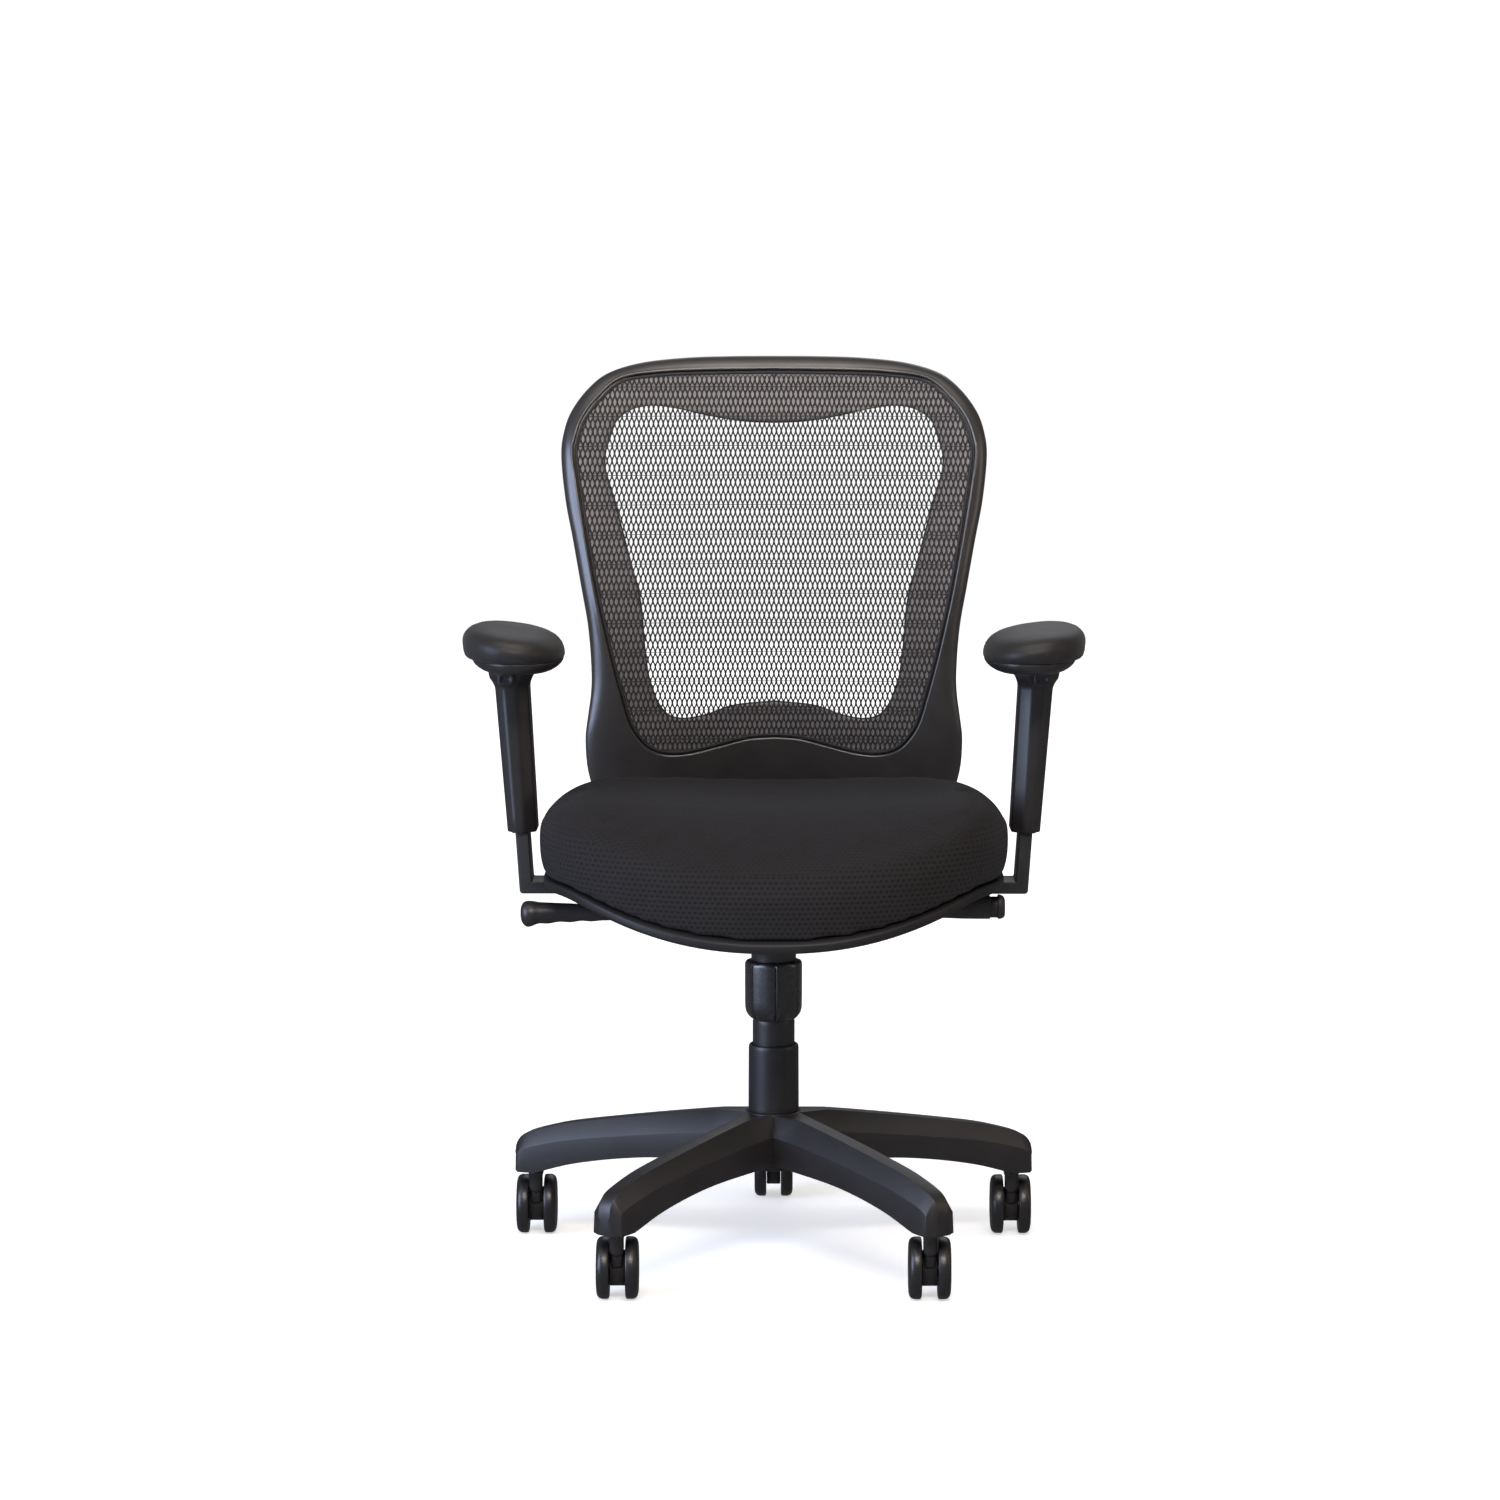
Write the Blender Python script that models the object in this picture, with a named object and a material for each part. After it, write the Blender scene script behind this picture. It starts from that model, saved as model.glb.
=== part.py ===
"""Swivel office chair with a mesh back, adjustable arms and a five-arm base on casters.

Metres, +Z up, the sitter faces -Y. The chair frame has its origin on the swivel
axis at floor level; every object hangs from the empty "chair_frame", which moves
that frame so that the whole chair stands centred on the world origin.
"""
import bpy
import bmesh
import math
from mathutils import Vector

for old in list(bpy.data.objects):
    bpy.data.objects.remove(old, do_unlink=True)

# ------------------------------------------------------------------ driving dimensions
Y_SHIFT = -0.0325            # chair frame to world, so the bounding box is centred
GAP = 0.0003                 # clearance between touching pieces

# base
ARM_COUNT = 5
STEM_CIRCLE = 0.2800         # radius of the caster stem circle
ARM_TIP = 0.3018             # radius of the arm tips
HUB_RADIUS = 0.0345
HUB_BORE = 0.0189           # taper socket for the gas spring; its steel ring is moulded in
HUB_BOTTOM, HUB_TOP = 0.0985, 0.1595
# casters
WHEEL_R, WHEEL_T = 0.0330, 0.0138
WHEEL_IN = 0.0085            # inner face of each wheel from the caster's middle
TRAIL = 0.0200               # axle behind the stem
CASTER_HUB_R = 0.0190
NECK_R = 0.0075
# column
TUBE_R, CYL_R, ROD_R = 0.0185, 0.0140, 0.0045
# tilt geometry (y, z)
SEAT_PIVOT = (-0.0500, 0.3760)
BACK_PIVOT = (0.0450, 0.3760)
# mechanism housing
HOUSE_X, HOUSE_Y0, HOUSE_Y1 = 0.0620, -0.1160, 0.1050
HOUSE_Z0, HOUSE_Z1, HOUSE_Z1R = 0.3600, 0.3975, 0.3790
KNOB_Y = -0.0875             # tension knob axis
# seat
SEAT_HALF, SEAT_MID_Y = 0.2490, -0.0275
SEAT_FRONT, SEAT_REAR = -0.2625, 0.2025
PAN_Z, PAN_T = 0.4192, 0.0120
FRONT_DROP, DROP_START = 0.0458, -0.1300
CUSHION_BULGE = 0.2548
# arms
BAR_LEAN = math.tan(math.radians(3.9))
BAR_Y0, BAR_Y1 = 0.0180, 0.0720
BAR_OUT_X, BAR_OUT_Z = 0.2786, 0.3980   # outer bottom corner of the L bar
BAR_T = 0.0140
SLEEVE_Z0, SLEEVE_Z1 = 0.4660, 0.6360
PAD_X, PAD_A, PAD_B, PAD_Y = 0.2826, 0.0549, 0.1230, 0.0150

frame = bpy.data.objects.new("chair_frame", None)
bpy.context.scene.collection.objects.link(frame)
frame.location = (0.0, Y_SHIFT, 0.0)

# ------------------------------------------------------------------ finishes
FINISH = {
    "nylon": ((0.022, 0.022, 0.024, 1), 0.42, 0.0),
    "nylon_dark": ((0.012, 0.012, 0.013, 1), 0.50, 0.0),
    "tyre": ((0.018, 0.018, 0.019, 1), 0.48, 0.0),
    "pu_pad": ((0.024, 0.023, 0.024, 1), 0.45, 0.0),
    "mesh_knit": ((0.050, 0.045, 0.043, 1), 0.80, 0.0),
    "seat_fabric": ((0.018, 0.018, 0.019, 1), 0.90, 0.0),
    "black_steel": ((0.020, 0.020, 0.021, 1), 0.40, 1.0),
    "bright_steel": ((0.55, 0.55, 0.56, 1), 0.28, 1.0),
    "spring_steel": ((0.30, 0.30, 0.32, 1), 0.35, 1.0),
    "bushing": ((0.55, 0.54, 0.50, 1), 0.55, 0.0),
}


def finish(obj, kind):
    colour, rough, metal = FINISH[kind]
    mat = bpy.data.materials.new(obj.name + "_finish")
    mat.use_nodes = True
    bsdf = mat.node_tree.nodes["Principled BSDF"]
    bsdf.inputs["Base Color"].default_value = colour
    bsdf.inputs["Roughness"].default_value = rough
    bsdf.inputs["Metallic"].default_value = metal
    obj.data.materials.append(mat)


def build(name, geo, kind=None, at=(0, 0, 0), parent=None, sharp=35.0, helper=False):
    """A closed mesh object from (verts, faces) given in the chair frame; its origin is `at`."""
    verts, faces = geo
    o = Vector(at)
    bm = bmesh.new()
    made = [bm.verts.new(Vector(v) - o) for v in verts]
    for f in faces:
        if len(set(f)) > 2:
            bm.faces.new([made[i] for i in f])
    bmesh.ops.remove_doubles(bm, verts=bm.verts, dist=1e-6)
    bmesh.ops.recalc_face_normals(bm, faces=bm.faces)
    if bm.calc_volume(signed=True) < 0:
        bmesh.ops.reverse_faces(bm, faces=bm.faces)
    mesh = bpy.data.meshes.new(name)
    bm.to_mesh(mesh)
    bm.free()
    obj = bpy.data.objects.new(name, mesh)
    bpy.context.scene.collection.objects.link(obj)
    holder = parent or frame
    obj.parent = holder
    base = Vector((0, 0, 0)) if holder is frame else Vector(holder["chair_at"])
    obj.location = o - base
    if helper:
        obj.hide_render = True
        obj.display_type = 'WIRE'
        obj.hide_set(True)
    else:
        mesh.shade_smooth()
        mesh.set_sharp_from_angle(angle=math.radians(sharp))
        finish(obj, kind)
    return obj


def pivot(name, at):
    """An empty on a joint axis, for pieces that move together."""
    e = bpy.data.objects.new(name, None)
    bpy.context.scene.collection.objects.link(e)
    e.parent = frame
    e.location = at
    e["chair_at"] = list(at)
    return e


def boolean(obj, other, operation):
    m = obj.modifiers.new(operation.lower(), 'BOOLEAN')
    m.operation = operation
    m.solver = 'EXACT'
    m.object = other


def bevel(obj, width, angle=40.0):
    m = obj.modifiers.new("edges", 'BEVEL')
    m.width = width
    m.segments = 1
    m.limit_method = 'ANGLE'
    m.angle_limit = math.radians(angle)


# ------------------------------------------------------------------ shape functions
def joined(*geos):
    verts, faces = [], []
    for v, f in geos:
        k = len(verts)
        verts += list(v)
        faces += [tuple(i + k for i in face) for face in f]
    return verts, faces


def box(x0, x1, y0, y1, z0, z1):
    v = [(x, y, z) for z in (z0, z1) for y in (y0, y1) for x in (x0, x1)]
    f = [(0, 2, 3, 1), (4, 5, 7, 6), (0, 1, 5, 4), (2, 6, 7, 3), (0, 4, 6, 2), (1, 3, 7, 5)]
    return v, f


def lathe(profile, n, centre=(0.0, 0.0), axis='Z', at=0.0, ring=False):
    """Turn (radius, height) points about an axis; ring=True closes the profile on itself."""
    verts, faces, rows = [], [], []
    for r, h in profile:
        if r < 1e-9:
            rows.append([len(verts)])
            verts.append((0.0, 0.0, h))
        else:
            rows.append(list(range(len(verts), len(verts) + n)))
            for k in range(n):
                a = 2 * math.pi * (k + 0.5) / n
                verts.append((r * math.cos(a), r * math.sin(a), h))
    pairs = list(zip(rows, rows[1:]))
    if ring:
        pairs.append((rows[-1], rows[0]))
    for a, b in pairs:
        for k in range(n):
            k2 = (k + 1) % n
            if len(a) == 1 and len(b) == 1:
                continue
            if len(a) == 1:
                faces.append((a[0], b[k], b[k2]))
            elif len(b) == 1:
                faces.append((a[k], b[0], a[k2]))
            else:
                faces.append((a[k], b[k], b[k2], a[k2]))
    out = []
    for x, y, z in verts:
        if axis == 'Z':
            out.append((x + centre[0], y + centre[1], z + at))
        else:                                   # along X: height runs along X, centre is (y, z)
            out.append((z + at, x + centre[0], y + centre[1]))
    return out, faces


def tube(r_in, r_out, z0, z1, n, centre=(0.0, 0.0), axis='Z', at=0.0):
    return lathe([(r_out, z0), (r_out, z1), (r_in, z1), (r_in, z0)], n, centre, axis, at, ring=True)


def rod(r, z0, z1, n, centre=(0.0, 0.0), axis='Z', at=0.0, chamfer=0.0):
    c = chamfer
    pts = [(0, z0), (r - c, z0), (r, z0 + c), (r, z1 - c), (r - c, z1), (0, z1)] if c else \
        [(0, z0), (r, z0), (r, z1), (0, z1)]
    return lathe(pts, n, centre, axis, at)


def loft(rings, closed_ends=True):
    """Skin through equal rings of points; flat caps at both ends."""
    n = len(rings[0])
    verts = [p for ring in rings for p in ring]
    faces = []
    for i in range(len(rings) - 1):
        for k in range(n):
            k2 = (k + 1) % n
            faces.append((i * n + k, i * n + k2, (i + 1) * n + k2, (i + 1) * n + k))
    if closed_ends:
        faces.append(tuple(range(n)))
        faces.append(tuple((len(rings) - 1) * n + k for k in range(n)))
    return verts, faces


def prism_x(outline_yz, x0, x1):
    return loft([[(x, y, z) for y, z in outline_yz] for x in (x0, x1)])


def sweep(path, r, sides):
    """Round bar along a list of points."""
    pts = [Vector(p) for p in path]
    rings = []
    up = Vector((0, 1, 0))
    for i, p in enumerate(pts):
        d = (pts[min(i + 1, len(pts) - 1)] - pts[max(i - 1, 0)]).normalized()
        a = d.cross(up)
        if a.length < 1e-3:
            a = d.cross(Vector((1, 0, 0)))
        a.normalize()
        b = d.cross(a).normalized()
        rings.append([tuple(p + a * (r * math.cos(t)) + b * (r * math.sin(t)))
                      for t in (2 * math.pi * k / sides for k in range(sides))])
    return loft(rings)


def along(points, t):
    """Linear value from (position, value) pairs."""
    if t <= points[0][0]:
        return points[0][1]
    for (a, u), (b, v) in zip(points, points[1:]):
        if t <= b:
            return u + (v - u) * (t - a) / (b - a)
    return points[-1][1]


def curve_through(points, per=8):
    """Smooth open curve through points (centripetal, end points doubled)."""
    p = [points[0]] + list(points) + [points[-1]]
    out = []
    for i in range(1, len(p) - 2):
        for k in range(per):
            t = k / per
            q = []
            for a, b, c, d in zip(p[i - 1], p[i], p[i + 1], p[i + 2]):
                q.append(0.5 * (2 * b + (c - a) * t + (2 * a - 5 * b + 4 * c - d) * t * t
                                + (3 * b - a - 3 * c + d) * t ** 3))
            out.append(tuple(q))
    out.append(tuple(points[-1]))
    return out


def mirrored(side):
    return [(-x, y, z) for x, y, z in side[0]], side[1]


def flip(geo, side):
    """Right-hand copy of a piece drawn on the left (-X)."""
    return geo if side < 0 else mirrored(geo)


# ------------------------------------------------------------------ base
ARM_TOP = [(0.012, 0.1640), (0.045, 0.1612), (0.079, 0.1573), (0.135, 0.1496), (0.190, 0.1413),
           (0.235, 0.1338), (0.262, 0.1273), (0.284, 0.1205), (0.2940, 0.1150), (0.3000, 0.1065), (ARM_TIP, 0.0965)]
ARM_BOTTOM = [(0.012, 0.1098), (0.075, 0.1062), (0.115, 0.1045), (0.150, 0.1020), (0.190, 0.0968),
              (0.230, 0.0892), (0.262, 0.0800), (0.275, 0.0762), (ARM_TIP, 0.0755)]
ARM_BASE_W = [(0.012, 0.0285), (0.050, 0.0262), (0.080, 0.0240), (0.150, 0.0215), (0.284, 0.0196), (0.2940, 0.0170), (0.3000, 0.0115), (ARM_TIP, 0.0062)]
ARM_CHAMFER = [(0.012, 0.0240), (0.100, 0.0210), (0.284, 0.0165), (0.2940, 0.0130), (ARM_TIP, 0.0060)]
ARM_RIDGE_W = [(0.012, 0.0100), (0.100, 0.0088), (0.284, 0.0085), (ARM_TIP, 0.0042)]


def arm_ring(s, angle, shrink=0.0, floor=None, roof=0.0):
    top, low = along(ARM_TOP, s) - roof, along(ARM_BOTTOM, s)
    base, ridge, cham = along(ARM_BASE_W, s) - shrink, along(ARM_RIDGE_W, s) - shrink * 0.5, along(ARM_CHAMFER, s)
    mid = base - 0.0012
    if floor is not None:
        low = floor
    sec = [(-base, low), (-mid, top - cham), (-ridge, top), (ridge, top), (mid, top - cham), (base, low)]
    ca, sa = math.cos(angle), math.sin(angle)
    # the arm runs along (sa, -ca); its sideways direction is (ca, sa)
    return [(s * sa + w * ca, -s * ca + w * sa, z) for w, z in sec]


ARM_ANGLES = [math.radians(36 + 72 * k) for k in range(ARM_COUNT)]

stations = (0.079, 0.135, 0.190, 0.235, 0.262, 0.284, 0.2940, 0.3000, ARM_TIP)


def star_geo():
    """Five arms whose edge lines meet on the planes halfway between neighbours."""
    half = math.pi / ARM_COUNT
    n = ARM_COUNT

    def line(j, s):                               # the three edge lines of an arm section: base, shoulder, ridge
        base_w, top, cham = along(ARM_BASE_W, s), along(ARM_TOP, s), along(ARM_CHAMFER, s)
        return ((base_w, along(ARM_BOTTOM, s)), (base_w - 0.0012, top - cham), (along(ARM_RIDGE_W, s), top))[j]

    verts, faces = [], []
    meet = []                                     # meet[k][j]: between arm k and arm k + 1
    for k in range(n):
        row = []
        for j in range(3):
            s = 0.03
            for _ in range(40):
                s = line(j, s)[0] / math.tan(half)
            w, z = line(j, s)
            ang = ARM_ANGLES[k] + half
            r = math.hypot(s, w)
            row.append(len(verts))
            verts.append((r * math.sin(ang), -r * math.cos(ang), z))
        meet.append(row)
    for k in range(n):
        prev = None
        lead = [meet[k - 1][0], meet[k - 1][1], meet[k - 1][2], meet[k][2], meet[k][1], meet[k][0]]
        rows = [lead]
        for s in stations:
            ring = arm_ring(s, ARM_ANGLES[k])
            rows.append(list(range(len(verts), len(verts) + 6)))
            verts += ring
        for a, b in zip(rows, rows[1:]):
            for i in range(6):
                i2 = (i + 1) % 6
                faces.append((a[i], a[i2], b[i2], b[i]))
        faces.append(tuple(rows[-1]))
    top, low = len(verts), len(verts) + 1
    verts += [(0, 0, along(ARM_TOP, 0.0)), (0, 0, along(ARM_BOTTOM, 0.0))]
    for k in range(n):
        faces.append((meet[k - 1][2], meet[k][2], top))
        faces.append((meet[k - 1][0], meet[k][0], low))
    return verts, faces


base = build("base_star", star_geo(), "nylon")
hub_solid = build("cut_hub_body", lathe([(0, HUB_BOTTOM), (0.0285, HUB_BOTTOM), (0.0305, 0.1020), (0.0305, 0.1585), (0.0295, 0.1612), (0, 0.1612)], 26), helper=True)
boolean(base, hub_solid, 'UNION')
for k, a in enumerate(ARM_ANGLES):
    chan = loft([arm_ring(s, a, shrink=0.0042, floor=0.060, roof=0.0050) for s in (0.064, 0.092, 0.150, 0.205, 0.250)])
    boolean(base, build(f"cut_channel_{k}", chan, helper=True), 'DIFFERENCE')
    cx, cy = STEM_CIRCLE * math.sin(a), -STEM_CIRCLE * math.cos(a)
    boolean(base, build(f"cut_socket_{k}", rod(0.0058, 0.060, 0.1040, 12, (cx, cy)), helper=True), 'DIFFERENCE')
boolean(base, build("cut_cover_seat", rod(0.0284, HUB_TOP, 0.200, 36), helper=True), 'DIFFERENCE')
boolean(base, build("cut_hub_bore", rod(HUB_BORE, 0.050, 0.250, 23), helper=True), 'DIFFERENCE')

build("gas_outer_tube", lathe([(0, 0.1000), (TUBE_R - 0.001, 0.1000), (TUBE_R, 0.1010), (TUBE_R, 0.2280),
                               (0.0165, 0.2280), (0.0165, 0.1030), (0, 0.1030)], 20), "black_steel")
build("guide_bushing", tube(CYL_R + 0.0003, 0.0165 - GAP, 0.1500, 0.2275, 20), "bushing")
build("column_cover_lower", lathe([(0.0272, HUB_TOP + GAP), (0.0276, 0.1650), (0.0274, 0.2340), (0.0266, 0.2355),
                                   (0.0245, 0.2355), (0.0245, HUB_TOP + GAP)], 28, ring=True), "nylon")

# ------------------------------------------------------------------ column: turning and lifting pieces
build("thrust_bearing", tube(ROD_R + GAP, 0.0140, 0.1033, 0.1078, 16), "bright_steel")
build("piston_rod", lathe([(0, 0.1035), (ROD_R - 0.0006, 0.1035), (ROD_R, 0.1042), (ROD_R, 0.2390), (0.0108, 0.2395),
                           (0.0108, 0.2495), (0, 0.2500)], 16), "bright_steel")
build("column_cover_middle", lathe([(0.0230, 0.2000), (0.0230, 0.2618), (0.0224, 0.2633), (0.0213, 0.2633),
                                    (0.0213, 0.2000)], 28, ring=True), "nylon")
build("column_cover_upper", lathe([(0.0207, 0.2360), (0.0207, 0.3590), (0.0195, 0.3590), (0.0195, 0.2360)], 28, ring=True), "nylon")
build("gas_cylinder", lathe([(CYL_R, 0.1730), (CYL_R, 0.3770), (CYL_R - 0.001, 0.3780), (0.0044, 0.3780), (0.0044, 0.3660),
                             (0.0115, 0.3660), (0.0115, 0.1780), (ROD_R + 0.0004, 0.1780), (ROD_R + 0.0004, 0.1720),
                             (CYL_R - 0.001, 0.1720)], 20, ring=True), "black_steel")
build("valve_pin", lathe([(0, 0.3700), (0.0041, 0.3700), (0.0041, 0.3832), (0.0034, 0.3838), (0, 0.3838)], 12), "bright_steel",
      at=(0, 0, 0.3700))

# ------------------------------------------------------------------ tilt mechanism
W = 0.0025
side = [(HOUSE_Y0, HOUSE_Z0), (HOUSE_Y1, HOUSE_Z0), (HOUSE_Y1, HOUSE_Z1R), (0.0150, HOUSE_Z1), (HOUSE_Y0, HOUSE_Z1)]
house = build("tilt_housing", prism_x(side, -HOUSE_X, HOUSE_X), "black_steel")
boolean(house, build("cut_house_inside", box(-HOUSE_X + W, HOUSE_X - W, HOUSE_Y0 + W, HOUSE_Y1 - W, HOUSE_Z0 + W, 0.430), helper=True), 'DIFFERENCE')
boolean(house, build("cut_house_socket", rod(0.0187, HOUSE_Z0 + 0.0005, 0.3750, 16), helper=True), 'UNION')
boolean(house, build("cut_house_collar", rod(0.0240, 0.3425, HOUSE_Z0 + 0.0012, 20, (0, KNOB_Y)), helper=True), 'UNION')
boolean(house, build("cut_house_bore", rod(CYL_R + 0.0004, 0.300, 0.420, 18), helper=True), 'DIFFERENCE')
boolean(house, build("cut_house_bolt", rod(0.0055, 0.330, 0.375, 10, (0, KNOB_Y)), helper=True), 'DIFFERENCE')
for nm, (py, pz) in (("seat", SEAT_PIVOT), ("back", BACK_PIVOT)):
    boolean(house, build(f"cut_house_{nm}_pin", rod(0.0044, -0.080, 0.080, 10, (py, pz), 'X'), helper=True), 'DIFFERENCE')
# slot for the height lever's rod (left wall) and hole for the lock rod (right wall)
boolean(house, build("cut_lever_slot", box(-0.070, -0.055, -0.0185, -0.0040, 0.3800, 0.3925), helper=True), 'DIFFERENCE')
boolean(house, build("cut_lock_hole", rod(0.0045, 0.055, 0.070, 10, (-0.0300, 0.3860), 'X'), helper=True), 'DIFFERENCE')

seat_axis = pivot("seat_tilt_axis", (0.0, *SEAT_PIVOT))
back_axis = pivot("back_recline_axis", (0.0, *BACK_PIVOT))
build("seat_pivot_pin", rod(0.0040, -0.0720, 0.0720, 10, SEAT_PIVOT, 'X', chamfer=0.0006), "bright_steel")
build("back_pivot_pin", rod(0.0040, -0.0720, 0.0720, 10, BACK_PIVOT, 'X', chamfer=0.0006), "bright_steel")

# tension spring, its bolt and nut plate
SPRING_R, WIRE_R, TURNS = 0.0150, 0.0019, 4.0
Z_A, Z_B = HOUSE_Z0 + W + WIRE_R + GAP, 0.3858
coil = []
for k in range(int(TURNS * 10) + 1):
    t = k / 10.0
    coil.append((SPRING_R * math.cos(2 * math.pi * t), KNOB_Y + SPRING_R * math.sin(2 * math.pi * t), Z_A + (Z_B - Z_A) * t / TURNS))
build("tension_spring", sweep(coil, WIRE_R, 5), "spring_steel", at=(0, KNOB_Y, HOUSE_Z0 + W))
build("tension_nut", lathe([(0.0055, 0.3882), (0.0180, 0.3882), (0.0180, 0.3912), (0.0085, 0.3915), (0.0085, 0.3960), (0.0055, 0.3960)],
                           14, (0, KNOB_Y), ring=True), "bright_steel", at=(0, KNOB_Y, 0.3882))
knob_axis = pivot("tension_axis", (0.0, KNOB_Y, 0.310))
# the knob is moulded round the head of its bolt
build("tension_knob", lathe([(0, 0.2780), (0.0190, 0.2780), (0.0250, 0.2802), (0.0292, 0.2845), (0.0311, 0.2905), (0.0311, 0.3380),
                             (0.0290, 0.3420), (0.0050, 0.3420), (0.0050, 0.3977), (0.0042, 0.3985), (0, 0.3985)], 28, (0, KNOB_Y)),
      "nylon", at=(0, KNOB_Y, 0.310), parent=knob_axis)

# ------------------------------------------------------------------ control levers
LEVER_Y, LEVER_PIVOT_X, LEVER_Z = -0.0450, -0.0500, 0.3862
height_axis = pivot("height_lever_axis", (LEVER_PIVOT_X, -0.011, LEVER_Z))
rod_path = curve_through([(-0.0500, -0.0105, LEVER_Z), (-0.0750, -0.0115, LEVER_Z), (-0.1150, -0.0260, LEVER_Z - 0.0005),
                          (-0.1700, -0.0430, LEVER_Z), (-0.2300, LEVER_Y, 0.3862)], 3)
hrod = build("height_lever_rod", sweep(rod_path, 0.0037, 8), "black_steel", at=(LEVER_PIVOT_X, -0.011, LEVER_Z), parent=height_axis)
blade = build("cut_lever_blade", box(-0.0530, 0.0040, -0.0145, 0.0050, 0.3842, 0.3876), helper=True)
boolean(hrod, blade, 'UNION')
GRIP = [(-0.2740, 0.0050, 0.0050, 0.3865), (-0.2725, 0.0095, 0.0100, 0.3862), (-0.2685, 0.0132, 0.0135, 0.3858), (-0.2620, 0.0142, 0.0138, 0.3858),
        (-0.2540, 0.0126, 0.0120, 0.3864), (-0.2440, 0.0116, 0.0112, 0.3866), (-0.2300, 0.0108, 0.0105, 0.3868), (-0.2100, 0.0098, 0.0096, 0.3868),
        (-0.1850, 0.0085, 0.0085, 0.3864), (-0.1650, 0.0078, 0.0078, 0.3862)]


def grip_ring(x, ry, rz, z, y=LEVER_Y, n=12):
    return [(x, y + ry * math.cos(2 * math.pi * k / n), z + rz * math.sin(2 * math.pi * k / n)) for k in range(n)]


# the rod sits in a blind bore that opens at the grip's inner end
rod_at = [(-x, y, z) for x, y, z in rod_path]
bore = [grip_ring(-x, 0.0046, 0.0046, along([(q[0], q[2]) for q in rod_at], x), along([(q[0], q[1]) for q in rod_at], x))
        for x in (0.1650, 0.1750, 0.1900, 0.2100, 0.2330)]
outside = [grip_ring(x, ry, rz, z, -0.0418 if x > -0.17 else (-0.0438 if x > -0.19 else LEVER_Y)) for x, ry, rz, z in GRIP]
grip = build("height_lever_grip", loft(outside + bore), "nylon", at=(LEVER_PIVOT_X, -0.011, LEVER_Z), parent=height_axis)

LOCK_Z = 0.3860
lock_axis = pivot("tilt_lever_axis", (0.0620, -0.0300, LOCK_Z))
lrod = [(0.0450, -0.0300, LOCK_Z), (0.0800, -0.0300, LOCK_Z), (0.1300, -0.0380, 0.3878), (0.1750, LEVER_Y, 0.3895), (0.2260, LEVER_Y, 0.3910)]
# the paddle is moulded over the end of the lock rod
lrod_geo = sweep(curve_through(lrod, 3), 0.0037, 8)
paddle = build("tilt_lever", loft([[(x, LEVER_Y - w, z0), (x, LEVER_Y - w, z1), (x, LEVER_Y - w * 0.5, z2), (x, LEVER_Y + w * 0.5, z2),
                                           (x, LEVER_Y + w, z1), (x, LEVER_Y + w, z0)]
                                          for x, w, z0, z1, z2 in ((0.1560, 0.0080, 0.3830, 0.3935, 0.3965), (0.1750, 0.0105, 0.3820, 0.3955, 0.3995),
                                                                   (0.2040, 0.0125, 0.3810, 0.3975, 0.4030), (0.2335, 0.0130, 0.3808, 0.3990, 0.4060),
                                                                   (0.2345, 0.0115, 0.3822, 0.3980, 0.4045), (0.2415, 0.0115, 0.3822, 0.3980, 0.4045),
                                                                   (0.2425, 0.0135, 0.3808, 0.4000, 0.4068), (0.2480, 0.0125, 0.3815, 0.3990, 0.4058),
                                                                   (0.2500, 0.0090, 0.3838, 0.3970, 0.4030))]),
               "nylon", at=(0.0620, -0.0300, LOCK_Z), parent=lock_axis)
boolean(paddle, build("cut_paddle_rod", lrod_geo, helper=True), 'UNION')


# ------------------------------------------------------------------ seat
def pan_point(t, k=1.0, n_pow=2.3, r_pow=3.4):
    """Seat plan outline at angle t (0 = right, going towards the rear), scaled by k about the middle."""
    c, s = math.cos(t), math.sin(t)
    if s < 0:                                     # front: long round nose
        b, p = SEAT_MID_Y - SEAT_FRONT, n_pow
    else:
        b, p = SEAT_REAR - SEAT_MID_Y, r_pow
    rad = (abs(c / SEAT_HALF) ** p + abs(s / b) ** p) ** (-1.0 / p)
    return k * rad * c, SEAT_MID_Y + k * rad * s


def pan_low(x, y):
    """Height of the pan's underside: flat in the middle, falling at the front, a little at the sides."""
    t = max(0.0, (DROP_START - y) / (DROP_START - SEAT_FRONT))
    q = max(0.0, (abs(x) - 0.200) / 0.050)
    return PAN_Z - FRONT_DROP * t * t - 0.0035 * min(q, 1.0) ** 2


def cushion_top(x, y):
    """Height of the upholstery's crown: dished in the middle, higher towards the rear and the sides, falling to the front."""
    z = 0.5035 + 0.0090 * min(1.0, abs(x) / 0.20) ** 2
    if y > 0.0:
        z += 0.0055 * min(1.0, y / 0.17) ** 2
    if y < -0.060:
        u = (-0.060 - y) / 0.205
        z -= 0.0460 * u ** 2.1
    return z


NP = 32
angles = [2 * math.pi * (k + 0.5) / NP for k in range(NP)]


def skin(levels, other=False):
    """Rings of points (each a function of the angle) joined by triangles; `other` picks the second diagonal,
    so that two skins that lie on each other, one drawn inwards and one outwards, crease alike."""
    verts, faces = [], []
    rows = []
    for lev in levels:
        rows.append(list(range(len(verts), len(verts) + NP)))
        verts += [lev(t) for t in angles]
    for a, b in zip(rows, rows[1:]):
        for k in range(NP):
            k2 = (k + 1) % NP
            if other:
                faces += [(a[k], a[k2], b[k]), (a[k2], b[k2], b[k])]
            else:
                faces += [(a[k], a[k2], b[k2]), (a[k], b[k2], b[k])]
    return verts, faces, rows


def fan(verts, faces, row, point):
    verts.append(point)
    m = len(verts) - 1
    n = len(row)
    for k in range(n):
        faces.append((row[k], row[(k + 1) % n], m))


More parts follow.
